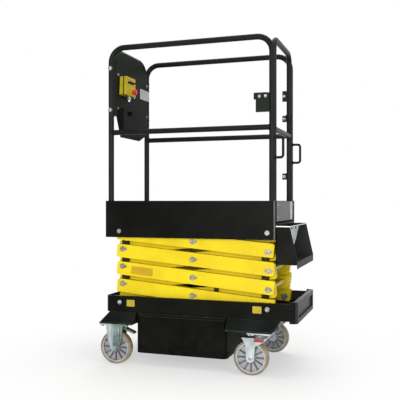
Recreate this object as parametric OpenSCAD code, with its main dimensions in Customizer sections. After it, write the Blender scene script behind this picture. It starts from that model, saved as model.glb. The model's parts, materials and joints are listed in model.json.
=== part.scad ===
// Push-around scissor lift, stowed. Millimetres, +Z up, +X the entry end, ground at Z 0.

/* [Scissor stack] */
// distance between the two end pins of an arm
arm_pitch = 910; // [860:1:960]
// rise of one level when stowed
rise = 106; // [94:1:120]
// depth of an arm bar
arm_height = 80; // [66:1:90]
// width of an arm bar
arm_width = 35; // [28:1:42]
// length of an arm beyond its end pin
arm_end = 36; // [30:1:42]
// from the middle line of an arm to its end pins
pin_offset = 12; // [0:1:14]
// corner cut at the ends of an arm
arm_chamfer = 8; // [6:1:14]
// side play between neighbouring arms
arm_gap = 8; // [6:1:10]
// room between the stack and the outside of the body
side_room = 29; // [26:1:36]
// diameter of the scissor shafts
shaft_d = 30; // [24:1:36]
// diameter of the shaft keepers
head_d = 33; // [32:1:44]
// thickness of a keeper plate
keeper_thick = 3; // [2:1:4]
// from a shaft to the screw in its keeper
keeper_reach = 20; // [18:1:30]
// diameter of the rollers in the tracks
roller_d = 50; // [44:1:58]
// diameter of the cross tubes between inner arms
tie_d = 42; // [34:1:48]
// place of the cross tubes from the middle of an arm
tie_at = 330; // [290:1:370]

/* [Chassis] */
// outside width of the chassis and of the platform above it
body_width = 588; // [540:1:640]
// X of the fixed pivots at the closed end
pivot_x = -477; // [-500:1:-450]
// from the fixed pivots to the closed end of the chassis
chassis_overhang = 98; // [80:1:110]
// from the stowed rollers to the entry end of the chassis
nose_overhang = 175; // [165:1:200]
// length of the deep nose at the entry end
nose_length = 45; // [36:1:60]
// depth of the panel sunk into the nose
nose_recess = 12; // [8:1:16]
// frame left around the sunk panel
nose_frame = 26; // [20:1:34]
// radius of the upright corners of the chassis
chassis_corner = 28; // [20:1:36]
// thickness of the chassis side plates
chassis_wall = 6; // [5:1:8]
// thickness of the flanges that hold the rollers
track_flange = 8; // [6:1:9]
// thickness of the bottom pan
pan_thick = 8; // [6:1:10]
// from the bottom pan up to the lowest pivots
pivot_rise = 55; // [52:1:64]

/* [Power box] */
// from the fixed pivots to the box
box_back_gap = 105; // [95:1:130]
// from the box to the stowed rollers
box_front_gap = 232; // [215:1:270]
// outside width of the box
box_width = 600; // [540:1:640]
// underside of the box above ground
box_bottom = 75; // [65:1:110]
// sheet of the box
box_wall = 5; // [4:1:8]
// radius of the upright corners of the box
box_corner = 30; // [20:1:40]
// height of the flange under the pan
lid_height = 16; // [10:1:24]
// reach of the flange under the pan
lid_lip = 4; // [3:1:6]
// room between the box and the battery
battery_room = 55; // [40:1:70]
// height of the battery and pump block
battery_height = 160; // [120:1:180]

/* [Castors] */
// diameter of a wheel
wheel_d = 200; // [180:1:220]
// width of a wheel
wheel_width = 48; // [42:1:56]
// thickness of the soft tread
tread_thick = 13; // [10:1:20]
// number of ribs on a hub
rib_count = 12; // [8:1:16]
// thickness of a hub rib
rib_thick = 5; // [3:1:6]
// from the body side out to the middle of a wheel
wheel_offset = 1; // [0:1:4]
// from the fixed pivots back to the fixed castors
fixed_back = 24; // [16:1:30]
// from the swivel axes to the stowed rollers
swivel_back = 34; // [24:1:44]
// distance from a swivel axis to its wheel
trail = 52; // [42:1:60]
// clear space above a wheel
wheel_room = 7; // [6:1:10]
// play between a wheel and a fork cheek
fork_play = 7; // [6:1:9]
// thickness of a fork cheek
fork_wall = 5; // [4:1:6]
// diameter of the wheel axles
axle_d = 16; // [12:1:20]
// thickness of the castor top plates
plate_thick = 8; // [6:1:10]
// length of the fixed castor top plates
fixed_plate = 180; // [160:1:200]
// length of the swivel castor top plates
swivel_plate = 136; // [120:1:150]
// width of the castor top plates
plate_width = 100; // [90:1:110]
// diameter of the swivel races
crown_d = 84; // [70:1:90]
// height of the upper race
race_height = 12; // [10:1:16]
// height of the lower race
crown_thick = 10; // [8:1:14]
// height of the castor brackets
bracket_height = 66; // [56:1:80]
// width of the castor brackets
bracket_width = 110; // [104:1:120]
// sheet of the castor brackets
bracket_wall = 7; // [5:1:9]

/* [Cylinder] */
// from the foot pin to the stowed rollers
foot_back = 70; // [60:1:80]
// diameter of the foot pin
foot_pin_d = 24; // [20:1:28]
// place of the rod eye along the lowest inner arm
eye_along = -200; // [-220:1:-180]
// height of the rod eye above the arm middle
eye_above = 75; // [68:1:82]
// diameter of the rod eye
eye_d = 48; // [42:1:52]
// half width of the rod eye
eye_half = 20; // [16:1:24]
// outside diameter of the barrel
barrel_d = 60; // [50:1:68]
// diameter of the rod
rod_d = 30; // [24:1:34]
// length of the rod
rod_length = 320; // [290:1:360]
// rod left outside the barrel when stowed
rod_show = 104; // [90:1:120]

/* [Platform] */
// from the fixed pivots to the closed end of the platform
deck_overhang = 100; // [90:1:110]
// room between the arm ends and the entry end of the platform
end_room = 14; // [12:1:20]
// from the top pivots up to the deck
deck_rise = 62; // [60:1:72]
// thickness of the deck plate
deck_thick = 4; // [3:1:6]
// thickness of the toe boards
board_thick = 3; // [2:1:4]
// height of the toe boards above the deck
board_height = 126; // [110:1:150]
// thickness of the platform side webs
web_thick = 3; // [2:1:4]
// thickness of the platform end plates
end_plate = 5; // [4:1:6]
// thickness of the cross flats under the deck
flat_thick = 6; // [4:1:6]
// width of the cross flats under the deck
flat_width = 70; // [50:1:90]

/* [Guardrail] */
// diameter of the rail tubes
tube_d = 34; // [30:1:38]
// from the closed end to the posts there
post_back_in = 28; // [24:1:34]
// from the entry end to the posts there
post_front_in = 22; // [20:1:28]
// height of the top rail above the deck
rail_height = 1059; // [1000:1:1120]
// height of the mid rail above the deck
mid_height = 543; // [500:1:580]
// bend radius of the side loops
rail_bend = 88; // [70:1:100]
// bend radius of the end hoop
end_bend = 110; // [90:1:130]
// length of the legs of the end hoop
end_leg = 410; // [360:1:440]
// from the mid rail down to the grab handles
handle_drop = 115; // [90:1:140]
// height of a grab handle
handle_height = 116; // [100:1:140]
// reach of a grab handle from its post
handle_reach = 46; // [40:1:54]
// diameter of the grab handles
handle_d = 15; // [12:1:18]

/* [Gate] */
// gap between the gate and the side loops
gate_gap = 5; // [5:1:7]
// drop of the gate top below the side rails
gate_drop = 4; // [0:1:50]
// bend radius of the gate
gate_bend = 70; // [50:1:90]
// play of the gate over the deck
gate_play = 6; // [6:1:12]
// height of the kick plate
kick_height = 117; // [100:1:130]
// thickness of the kick plate
kick_thick = 3; // [2:1:4]
// from the mid rail down to the lower hinge
hinge_below = 281; // [240:1:320]
// from the mid rail up to the upper hinge
hinge_above = 91; // [80:1:120]
// height of a hinge
hinge_height = 40; // [30:1:50]
// wall of a hinge ring
hinge_wall = 6; // [5:1:7]
// reach of the ears on the hinge post
ear_reach = 34; // [26:1:40]
// from the mid rail up to the latch plate
latch_above = 86; // [70:1:100]
// length of the latch plate
latch_length = 78; // [60:1:90]
// height of the latch plate
latch_height = 110; // [90:1:130]

/* [Step] */
// reach of the step at its top
step_top_reach = 75; // [65:1:85]
// reach of the step at its tread
step_reach = 118; // [100:1:126]
// from the deck down to the underside of the tread
step_drop = 255; // [230:1:290]
// sheet of the step cheeks
step_wall = 4; // [3:1:6]
// thickness of the riser and nosing
riser_thick = 6; // [4:1:8]
// from the body side in to the step
step_inset = 14; // [10:1:24]

/* [Controls] */
// sheet of the control panel
panel_thick = 3; // [2:1:4]
// from the mid rail down to the lower edge of the panel
panel_drop = 20; // [10:1:40]
// width of the control box
control_width = 150; // [120:1:180]
// height of the control box
control_height = 115; // [95:1:140]
// depth of the control box
control_depth = 44; // [36:1:60]
// from the near leg of the end hoop to the middle of the controls
control_in = 112; // [100:1:130]
// space between the pocket and the control box
control_room = 86; // [60:1:100]
// diameter of the stop button
stop_d = 40; // [34:1:44]
// width of the document pocket
pocket_width = 170; // [140:1:190]
// height of the document pocket
pocket_height = 140; // [110:1:150]
// depth of the document pocket
pocket_depth = 34; // [28:1:44]
// wall of the document pocket
pocket_wall = 3; // [2:1:4]

/* [Hidden] */
$fn = 48;
running = 0.5;
seat_gap = 0.3;
head_thick = keeper_thick + 2;
side_clear = 5;

body_half = body_width / 2;
stack_half = body_half - side_room;
outer_y = stack_half - arm_width;
inner_y = outer_y - arm_gap - arm_width;
half_pitch = arm_pitch / 2;
arm_angle = asin(rise / arm_pitch);
arm_lean = asin(pin_offset / half_pitch);
span = arm_pitch * cos(arm_angle);
roll_x = pivot_x + span;
mid_x = pivot_x + span / 2;

wheel_r = wheel_d / 2;
hub_r = wheel_r - tread_thick;
boss_r = axle_d / 2 + 14;
wheel_y = body_half + wheel_offset;
fixed_x = pivot_x - fixed_back;
swivel_x = roll_x - swivel_back;
swivel_wheel_x = swivel_x - trail;
fork_half = wheel_width / 2 + fork_play;
fork_out = fork_half + fork_wall;
bridge_thick = plate_thick;
bridge_top = wheel_d + wheel_room + bridge_thick;
crown_gap = 1;
crown_top = bridge_top + crown_thick + crown_gap;
fork_top = crown_top + race_height;
castor_top = fork_top + plate_thick;
king_d = 22;

pan_bottom = castor_top + bracket_height;
pan_top = pan_bottom + pan_thick;
base_z = pan_top + pivot_rise;
top_z = base_z + 4 * rise;
track_in = stack_half + head_thick + side_clear;
track_half = roller_d / 2 + 1;
track_low = track_half + track_flange;
chassis_back = pivot_x - chassis_overhang;
chassis_front = roll_x + nose_overhang;
nose_back = chassis_front - nose_length;
rim_top = base_z + track_low;
nose_bottom = pan_bottom - nose_recess;
nose_top = rim_top + nose_recess;
box_back = pivot_x + box_back_gap;
box_front = roll_x - box_front_gap;
side_from = pivot_x + 2 * shaft_d;

foot_x = roll_x - foot_back;
foot_z = pan_top + barrel_d / 2 + side_clear;
foot_half = barrel_d / 2;
lug_room = 6;
lug_thick = 10;
foot_lug = foot_half + lug_room;
eye_lug = eye_half + lug_room;
lug_tie = eye_along - 60;
eye_x = mid_x + eye_along * cos(arm_angle) - eye_above * sin(arm_angle);
eye_z = base_z + rise / 2 + eye_along * sin(arm_angle) + eye_above * cos(arm_angle);
cyl_length = sqrt(pow(eye_x - foot_x, 2) + pow(eye_z - foot_z, 2));
cyl_angle = atan2(eye_z - foot_z, eye_x - foot_x);
barrel_length = cyl_length - rod_show;
gland_length = 34;

deck_back = pivot_x - deck_overhang;
deck_front = round(roll_x + arm_end + end_room);
deck_top = top_z + deck_rise;
frame_top = deck_top - deck_thick;
skirt_low = top_z - track_low;
board_in = body_half - board_thick;
web_in = board_in - web_thick;
roller_in = track_in + running;
roller_out = min(web_in, body_half - chassis_wall) - 3;

tube_r = tube_d / 2;
mid_d = tube_d - 2;
post_back = deck_back + post_back_in;
post_front = deck_front - post_front_in;
post_y = board_in - tube_r;
hoop_y = post_y - tube_d - seat_gap;
end_y = post_y - tube_d - gate_gap;
rail_z = deck_top + rail_height;
mid_z = deck_top + mid_height;
gate_z = rail_z - gate_drop;
gate_mid_z = mid_z - 5;
gate_low = deck_top + gate_play;
hinge_top = mid_z + hinge_above + hinge_height;
catch_height = 1.7 * hinge_height;
catch_z = hinge_top + 0.4 * (rail_z - rail_bend - hinge_top - catch_height);

riser_out = deck_front + riser_thick;
nosing_z = frame_top - 3 * riser_thick;
step_bottom = deck_top - step_drop;
step_half = body_half - step_inset;
step_lip = 40;
tread_rise = 20;
step_tread = step_bottom + tread_rise;

panel_x = post_back + tube_r;
panel_face = panel_x + panel_thick;
panel_low = mid_z - panel_drop;
control_y = control_in - hoop_y;
pocket_z = panel_low + 39;
control_z = pocket_z + pocket_height + control_room;

black = [0.09, 0.1, 0.1];
yellow = [0.9, 0.78, 0.12];
zinc = [0.7, 0.71, 0.72];
brown = [0.6, 0.45, 0.3];
grey = [0.62, 0.63, 0.64];
red = [0.75, 0.08, 0.06];

module along_y(d, from, to) {
  translate([0, from, 0]) rotate([-90, 0, 0]) cylinder(d = d, h = to - from);
}

module along_x(d, from, to) {
  translate([from, 0, 0]) rotate([0, 90, 0]) cylinder(d = d, h = to - from);
}

// extrudes an outline given in X and Z along Y
module slab_y(from, to) {
  translate([0, to, 0]) rotate([90, 0, 0]) linear_extrude(to - from) children();
}

// extrudes an outline given in Y and Z along X
module slab_x(from, to) {
  translate([from, 0, 0]) rotate([90, 0, 90]) linear_extrude(to - from) children();
}

module both_sides() {
  children();
  mirror([0, 1, 0]) children();
}

module both_sides_flat() {
  children();
  mirror([0, 1]) children();
}

module rounded_outline(x, y, r) {
  translate([r, -y / 2]) square([x - 2 * r, y]);
  translate([0, -y / 2 + r]) square([x, y - 2 * r]);
  for (cx = [r, x - r], cy = [-y / 2 + r, y / 2 - r]) translate([cx, cy]) circle(r);
}

module rounded_box(size, r) {
  linear_extrude(size[2]) rounded_outline(size[0], size[1], r);
}

// two eyes joined by a web, as an outline
module link_outline(a, b, da, db) {
  t = atan2(b[1] - a[1], b[0] - a[0]);
  n = [-sin(t), cos(t)];
  translate(a) circle(d = da);
  translate(b) circle(d = db);
  polygon([a + n * da / 2, b + n * db / 2, b - n * db / 2, a - n * da / 2]);
}

function level_z(k) = base_z + (k - 0.5) * rise;

// Scissor arms

// the end pins sit off the middle line, so a stowed bar lies flatter than its row of pins
module arm_outline(tilt) {
  x = half_pitch + arm_end;
  z = arm_height / 2;
  c = arm_chamfer;
  rotate(tilt) difference() {
    rotate(-sign(tilt) * arm_lean) polygon([[-x + c, -z], [x - c, -z], [x, -z + c], [x, z - c],
      [x - c, z], [-x + c, z], [-x, z - c], [-x, -z + c]]);
    for (at = [-half_pitch, 0, half_pitch]) translate([at, 0]) circle(d = shaft_d + 2 * running);
  }
}

module arm_pair(k, tilt, from) {
  translate([mid_x, 0, level_z(k)]) both_sides() slab_y(from, from + arm_width) arm_outline(tilt);
}

// places children on the inner arms of a level, X along the arm from its middle
module on_inner(k) {
  translate([mid_x, 0, level_z(k)]) rotate([0, -arm_angle, 0]) children();
}

module inner_frame(k, ties) {
  arm_pair(k, arm_angle, inner_y);
  on_inner(k) for (at = ties) translate([at, 0, 0]) along_y(tie_d, -inner_y, inner_y);
}

// ears for the rod eye, with the closed ends of its split pin
module eye_ears() {
  on_inner(1) both_sides() {
    slab_y(eye_lug, eye_lug + lug_thick)
      link_outline([lug_tie, 0], [eye_along, eye_above], tie_d + 8, eye_d + 6);
    translate([eye_along, 0, eye_above])
      along_y(eye_d * 2 / 3, eye_lug + lug_thick, eye_lug + lug_thick + lug_room);
  }
}

module inner_arms_1() color(yellow) {
  inner_frame(1, [lug_tie, tie_at]);
  eye_ears();
}

module inner_arms_2() color(yellow) inner_frame(2, [-tie_at, tie_at]);
module inner_arms_3() color(yellow) inner_frame(3, [-tie_at, tie_at]);
module inner_arms_4() color(yellow) inner_frame(4, [-tie_at, tie_at]);

module outer_arms_1() color(yellow) arm_pair(1, -arm_angle, outer_y);
module outer_arms_2() color(yellow) arm_pair(2, -arm_angle, outer_y);
module outer_arms_3() color(yellow) arm_pair(3, -arm_angle, outer_y);
module outer_arms_4() color(yellow) arm_pair(4, -arm_angle, outer_y);

// Shafts and rollers

// shaft end with its keeper plate, the plate's tail toward the entry end
module keeper() {
  slab_y(stack_half, stack_half + keeper_thick) {
    circle(d = head_d);
    translate([keeper_reach, 0]) circle(d = head_d / 2);
    translate([0, -head_d / 4]) square([keeper_reach, head_d / 2]);
  }
  along_y(shaft_d * 0.8, stack_half, stack_half + head_thick);
  translate([keeper_reach, 0, 0]) along_y(head_d / 4, stack_half, stack_half + head_thick);
}

module shaft(x, z) {
  translate([x, 0, z]) {
    along_y(shaft_d, -stack_half, stack_half);
    both_sides() keeper();
  }
}

module stub(x, z) {
  translate([x, 0, z]) both_sides() {
    along_y(shaft_d, inner_y - 2, stack_half);
    keeper();
  }
}

module pins(k, back, front) {
  color(zinc) {
    stub(mid_x, level_z(k));
    if (back) shaft(pivot_x, base_z + k * rise);
    if (front) shaft(roll_x, base_z + (k - 1) * rise);
  }
}

module pins_1() pins(1, true, false);
module pins_2() pins(2, true, true);
module pins_3() pins(3, true, true);
module pins_4() pins(4, false, true);

collar = 6;
collar_d = shaft_d + 10;

module roller() {
  along_y(roller_d, roller_in, roller_out);
}

module base_rollers() color(zinc) translate([roll_x, 0, base_z]) both_sides() {
  along_y(shaft_d, outer_y - collar, roller_in);
  along_y(collar_d, outer_y - collar, outer_y);
  roller();
}

module platform_rollers() color(zinc) translate([roll_x, 0, top_z]) {
  along_y(shaft_d, -roller_in, roller_in);
  both_sides() {
    along_y(collar_d, inner_y + arm_width, inner_y + arm_width + collar);
    roller();
  }
}

// Chassis

module chassis_frame() color(black) {
  chassis_tub();
  translate([pivot_x, 0, base_z]) along_y(shaft_d, 1 - body_half, body_half - 1);
  chassis_nose();
}

// the flanges above and below a roller, from one X to another, out to a web
module track_flanges(from, to, z, web) {
  for (low = [z - track_low, z + track_half]) both_sides()
    translate([from, track_in, low]) cube([to - from, web - track_in, track_flange]);
}

module chassis_tracks() color(black)
  track_flanges(chassis_back + 2 * chassis_corner, nose_back, base_z, body_half - chassis_wall);

module chassis_tub() {
  length = nose_back - chassis_back + chassis_corner;
  difference() {
    translate([chassis_back, 0, pan_bottom])
      rounded_box([length, body_width, rim_top - pan_bottom], chassis_corner);
    translate([chassis_back + chassis_wall, 0, pan_top])
      rounded_box([length, body_width - 2 * chassis_wall, rim_top], chassis_corner - chassis_wall);
    translate([nose_back, -body_width, 0]) cube([body_width, 2 * body_width, rim_top + 1]);
    both_sides() translate([side_from, body_half - chassis_wall, 0])
      cube([length, body_width, rim_top + 1]);
  }
}

// plain side plates that the roller tracks are welded to
module chassis_sides() color(black) both_sides()
  translate([side_from, body_half - chassis_wall, pan_bottom])
    cube([nose_back - side_from, chassis_wall, rim_top - pan_bottom]);

module chassis_nose() {
  length = 2 * nose_length;
  panel_half = body_half - chassis_corner - nose_recess;
  difference() {
    translate([chassis_front - length, 0, nose_bottom])
      rounded_box([length, body_width, nose_top - nose_bottom], chassis_corner);
    translate([nose_back - length, -body_width, 0]) cube([length, 2 * body_width, nose_top + 1]);
    translate([nose_back - 1, chassis_wall - body_half, pan_top])
      cube([nose_length - nose_recess - 2 * chassis_wall, body_width - 2 * chassis_wall, nose_top]);
    translate([chassis_front - nose_recess, -panel_half, nose_bottom + nose_frame])
      cube([2 * nose_recess, 2 * panel_half, nose_top - nose_bottom - 2 * nose_frame]);
  }
}

module cylinder_foot() color(black) {
  both_sides() slab_y(foot_lug, foot_lug + lug_thick) {
    translate([foot_x, foot_z]) circle(d = barrel_d);
    translate([foot_x - barrel_d * 0.75, pan_top])
      square([barrel_d * 1.5, foot_z - pan_top - barrel_d / 6]);
  }
  translate([foot_x, 0, foot_z]) along_y(foot_pin_d, -foot_lug - lug_thick - 4, foot_lug + lug_thick + 4);
}

module box_shell(grow, low) {
  translate([box_back - grow, 0, low])
    rounded_box([box_front - box_back + 2 * grow, box_width + 2 * grow, pan_bottom - low],
      box_corner + grow);
}

module power_box() color(black) difference() {
  union() {
    box_shell(0, box_bottom);
    box_shell(lid_lip, pan_bottom - lid_height);
  }
  translate([0, 0, 1]) box_shell(-box_wall, box_bottom + box_wall - 1);
}

module battery_pack() color(grey)
  translate([box_back + battery_room, battery_room - box_width / 2, box_bottom + box_wall])
    cube([box_front - box_back - 2 * battery_room, box_width - 2 * battery_room, battery_height]);

// Castors

// a flared bracket between the castor plate and the pan, drawn in by its skin;
// low and high give its ends along X at the plate and at the pan
module bracket_shape(low, high, skin) {
  open = skin > 0 ? 1 : 0;
  in = wheel_y - bracket_width / 2 - open;
  out = wheel_y + bracket_width / 2;
  intersection() {
    slab_y(in, out) polygon([
      [low[0] + skin, castor_top], [low[1] - skin, castor_top],
      [high[1] - skin, pan_bottom], [high[0] + skin, pan_bottom]]);
    slab_x(min(low[0], high[0]), max(low[1], high[1])) polygon([
      [in, castor_top + skin], [out - skin, castor_top + skin],
      [out - skin, castor_top + skin + plate_thick], [body_half - skin, pan_bottom - skin],
      [in, pan_bottom - skin]]);
  }
}

module bracket(low, high) {
  difference() {
    bracket_shape(low, high, 0);
    bracket_shape(low, high, bracket_wall);
  }
}

bracket_foot = 5;
bracket_flare = 40;

module castor_brackets() color(black) both_sides() {
  inner_end = box_back - lid_lip - 1;
  bracket([fixed_x - fixed_plate / 2 - bracket_foot, inner_end],
    [fixed_x - fixed_plate / 2 + bracket_flare, inner_end]);
  outer_end = box_front + lid_lip + 1;
  bracket([outer_end, swivel_x + swivel_plate / 2 + bracket_foot],
    [outer_end, swivel_x + swivel_plate / 2 + bracket_flare]);
}

module at_wheel(x, side) {
  translate([x, side * wheel_y, 0]) children();
}

module top_plate(length) {
  translate([-length / 2, -plate_width / 2, fork_top]) cube([length, plate_width, plate_thick]);
}

module castor_heads() color(zinc) both_sides() at_wheel(swivel_x, 1) difference() {
  union() {
    top_plate(swivel_plate);
    translate([0, 0, crown_top]) rotate_extrude() polygon([[0, 0], [crown_d / 2 - 5, 0],
      [crown_d / 2, 5], [crown_d / 2 - 8, race_height], [0, race_height]]);
  }
  translate([0, 0, crown_top - 1]) cylinder(d = king_d + 2 * running, h = race_height + 1);
}

module cheek_bore() {
  translate([0, wheel_r]) circle(d = axle_d + 2 * running);
}

cheek_top = 0.28 * wheel_d;
cheek_foot = 0.12 * wheel_d;
cheek_waist = 0.2 * wheel_d;
bead_d = 0.08 * wheel_d;

module fixed_cheek() {
  slab_y(fork_half, fork_out) difference() {
    union() {
      polygon([[-cheek_top, fork_top], [cheek_top, fork_top], [cheek_waist + 4, wheel_r + cheek_waist],
        [cheek_foot, wheel_r - 4], [-cheek_foot, wheel_r - 4], [-cheek_waist - 4, wheel_r + cheek_waist]]);
      translate([0, wheel_r]) circle(d = 2 * cheek_foot + 2);
    }
    cheek_bore();
  }
  for (x = [-cheek_top / 2, cheek_top / 2]) intersection() {
    translate([x, fork_out, wheel_r + cheek_waist])
      cylinder(d = bead_d, h = fork_top - wheel_r - cheek_waist);
    translate([x - bead_d, fork_out - 1, wheel_r]) cube([2 * bead_d, bead_d, fork_top]);
  }
}

module fixed_forks() color(zinc) both_sides() at_wheel(fixed_x, 1) {
  top_plate(fixed_plate);
  both_sides() fixed_cheek();
}

module axle() {
  translate([0, 0, wheel_r]) {
    along_y(axle_d, -fork_out, fork_out);
    both_sides() along_y(axle_d + 10, fork_out, fork_out + 7);
  }
}

module fixed_axles() color(zinc) both_sides() at_wheel(fixed_x, 1) axle();

lever_half = 0.11 * wheel_d;
lever_reach = 0.31 * wheel_d;
lever_drop = 0.2 * wheel_d;

module brake_levers() color(zinc) both_sides() at_wheel(fixed_x, 1) slab_y(-lever_half, lever_half)
  polygon([[cheek_top - 24, fork_top], [cheek_top - 6, fork_top], [cheek_top - 6, fork_top - 12],
  [cheek_top + lever_reach, fork_top - lever_drop], [cheek_top + lever_reach + 4, fork_top - lever_drop - 10],
  [cheek_top + lever_reach - 2, fork_top - lever_drop - 10],
  [cheek_top - 10, fork_top - 22], [cheek_top - 24, fork_top - 18]]);

bridge_back = 2 * trail - 4;
bridge_front = crown_d / 2 - 2;

module swivel_fork(side) color(zinc) at_wheel(swivel_x, side) {
  translate([0, 0, bridge_top]) rotate_extrude() polygon([[0, 0], [crown_d / 2 - 8, 0],
    [crown_d / 2, crown_thick - 4], [crown_d / 2 - 3, crown_thick], [0, crown_thick]]);
  translate([0, 0, bridge_top]) cylinder(d = king_d, h = fork_top - bridge_top - 1);
  translate([-bridge_back, -fork_out, bridge_top - bridge_thick])
    cube([bridge_back + bridge_front, 2 * fork_out, bridge_thick]);
  both_sides() slab_y(fork_half, fork_out) difference() {
    union() {
      polygon([[-bridge_back, bridge_top], [bridge_front, bridge_top], [bridge_front - 8, bridge_top - 16],
        [28 - trail, bridge_top - 48], [22 - trail, wheel_r - 8], [-22 - trail, wheel_r - 8],
        [-28 - trail, bridge_top - 48], [8 - bridge_back, bridge_top - 16]]);
      translate([-trail, wheel_r]) circle(d = 46);
    }
    translate([-trail, 0]) cheek_bore();
  }
}

module swivel_fork_near() swivel_fork(-1);
module swivel_fork_far() swivel_fork(1);

module swivel_axle_near() color(zinc) at_wheel(swivel_wheel_x, -1) axle();
module swivel_axle_far() color(zinc) at_wheel(swivel_wheel_x, 1) axle();

pedal_half = 0.14 * wheel_d;
pedal_reach = 16;

// foot pedal on the outer cheek of a swivel fork
module brake_pedal() color(red) at_wheel(swivel_x, 1) slab_x(-pedal_half, pedal_half)
  polygon([[fork_out, bridge_top - 1], [fork_out + pedal_reach / 2, bridge_top - 1],
    [fork_out + pedal_reach, bridge_top - 11], [fork_out + pedal_reach, bridge_top - 18],
    [fork_out + pedal_reach / 2, bridge_top - 10], [fork_out, bridge_top - 10]]);

module brake_pedal_near() mirror([0, 1, 0]) brake_pedal();
module brake_pedal_far() brake_pedal();

module wheel_tread(x, side) color(brown) translate([x, side * wheel_y, wheel_r]) rotate([90, 0, 0])
  rotate_extrude($fn = 96) {
    w = wheel_width / 2;
    polygon([[hub_r, -w], [wheel_r - 7, -w], [wheel_r - 2, -w + 3], [wheel_r, -w + 9],
      [wheel_r, w - 9], [wheel_r - 2, w - 3], [wheel_r - 7, w], [hub_r, w]]);
  }

module wheel_hub(x, side) color(grey) translate([x, side * wheel_y, wheel_r]) rotate([90, 0, 0]) {
  w = wheel_width / 2;
  rotate_extrude($fn = 96) {
    translate([axle_d / 2 + running, 2 - fork_half]) square([boss_r - axle_d / 2, 2 * fork_half - 4]);
    translate([boss_r - 2, -5]) square([hub_r - boss_r, 10]);
    translate([hub_r - 9, 2 - w]) square([9, wheel_width - 4]);
  }
  for (i = [0:rib_count - 1]) rotate(i * 360 / rib_count)
    translate([boss_r - 1, -rib_thick / 2, 5 - w]) cube([hub_r - boss_r - 6, rib_thick, wheel_width - 10]);
}

module tread_back_near() wheel_tread(fixed_x, -1);
module tread_back_far() wheel_tread(fixed_x, 1);
module tread_front_near() wheel_tread(swivel_wheel_x, -1);
module tread_front_far() wheel_tread(swivel_wheel_x, 1);
module hub_back_near() wheel_hub(fixed_x, -1);
module hub_back_far() wheel_hub(fixed_x, 1);
module hub_front_near() wheel_hub(swivel_wheel_x, -1);
module hub_front_far() wheel_hub(swivel_wheel_x, 1);

// Lift cylinder

module along_cylinder() {
  translate([foot_x, 0, foot_z]) rotate([0, -cyl_angle, 0]) children();
}

module cylinder_barrel() color(black) along_cylinder() difference() {
  union() {
    along_y(barrel_d - 2, -foot_half, foot_half);
    along_x(barrel_d, barrel_d / 3, barrel_length);
    along_x(barrel_d + 8, barrel_length - gland_length, barrel_length);
  }
  along_y(foot_pin_d + 2 * running, -foot_half - 1, foot_half + 1);
  along_x(rod_d + 2 * running, cyl_length - rod_length - 10, barrel_length + 1);
}

module cylinder_rod() color(zinc) along_cylinder() difference() {
  union() {
    along_x(rod_d, cyl_length - rod_length, cyl_length);
    translate([cyl_length, 0, 0]) along_y(eye_d, -eye_half, eye_half);
  }
  translate([cyl_length, 0, 0]) along_y(eye_d / 2, -eye_half - 1, eye_half + 1);
}

// Platform

module platform_frame() color(black) {
  length = deck_front - deck_back - board_thick;
  translate([deck_back + board_thick, 0, 0]) {
    both_sides() translate([0, web_in, skirt_low]) cube([length, web_thick, frame_top - skirt_low]);
    for (x = [0, length - end_plate]) translate([x, -board_in, skirt_low])
      cube([end_plate, 2 * board_in, frame_top - skirt_low]);
  }
  translate([pivot_x, 0, top_z]) along_y(shaft_d, 1 - board_in, board_in - 1);
  for (x = [pivot_x + span / 9, mid_x - flat_width, mid_x + span / 4])
    translate([x, -board_in, frame_top - flat_thick]) cube([flat_width, 2 * board_in, flat_thick]);
}

module platform_tracks() color(black)
  track_flanges(deck_back + board_thick + end_plate, deck_front - end_plate, top_z, web_in);

// the deck plate is notched round the posts, which stand on the frame
module deck() color(grey) translate([0, 0, frame_top]) linear_extrude(deck_thick) difference() {
  translate([deck_back + board_thick, -board_in])
    square([deck_front - deck_back - board_thick, 2 * board_in]);
  for (x = [post_back, post_front]) both_sides_flat() {
    translate([x, post_y]) circle(tube_r + seat_gap);
    translate([x - tube_r - seat_gap, post_y]) square(tube_d + 2 * seat_gap);
  }
}

module toe_boards() color(black) {
  height = deck_top + board_height - skirt_low;
  both_sides() translate([deck_back, board_in, skirt_low])
    cube([deck_front - deck_back, board_thick, height]);
  translate([deck_back, -body_half, skirt_low]) cube([board_thick, body_width, height]);
}

module bend_arc(x, z, r, turn) {
  translate([x, 0, z]) rotate([90, 0, 0]) rotate([0, 0, turn])
    rotate_extrude(angle = 90) translate([r, 0]) circle(tube_r);
}

// an upright hoop in the plane of X and Z, with its legs at from and to
module hoop(from, to, low, high, bend) {
  for (x = [from, to]) translate([x, 0, low]) cylinder(d = tube_d, h = high - bend - low);
  translate([0, 0, high]) along_x(tube_d, from + bend, to - bend);
  bend_arc(from + bend, high - bend, bend, 90);
  bend_arc(to - bend, high - bend, bend, 0);
}

module side_loop(side) color(black) translate([0, side * post_y, 0]) {
  hoop(post_back, post_front, frame_top, rail_z, rail_bend);
  translate([0, 0, mid_z]) along_x(mid_d, post_back, post_front);
}

module guardrail_near() side_loop(-1);
module guardrail_far() side_loop(1);

// a hoop across the platform
module cross_hoop(x, half, low, high, bend) {
  translate([x, 0, 0]) rotate([0, 0, 90]) hoop(-half, half, low, high, bend);
}

module guardrail_end() color(black) cross_hoop(post_back, hoop_y, rail_z - end_leg, rail_z, end_bend);

panel_clip_near = [57, 122];
panel_clip_far = [140, 56];

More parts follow.
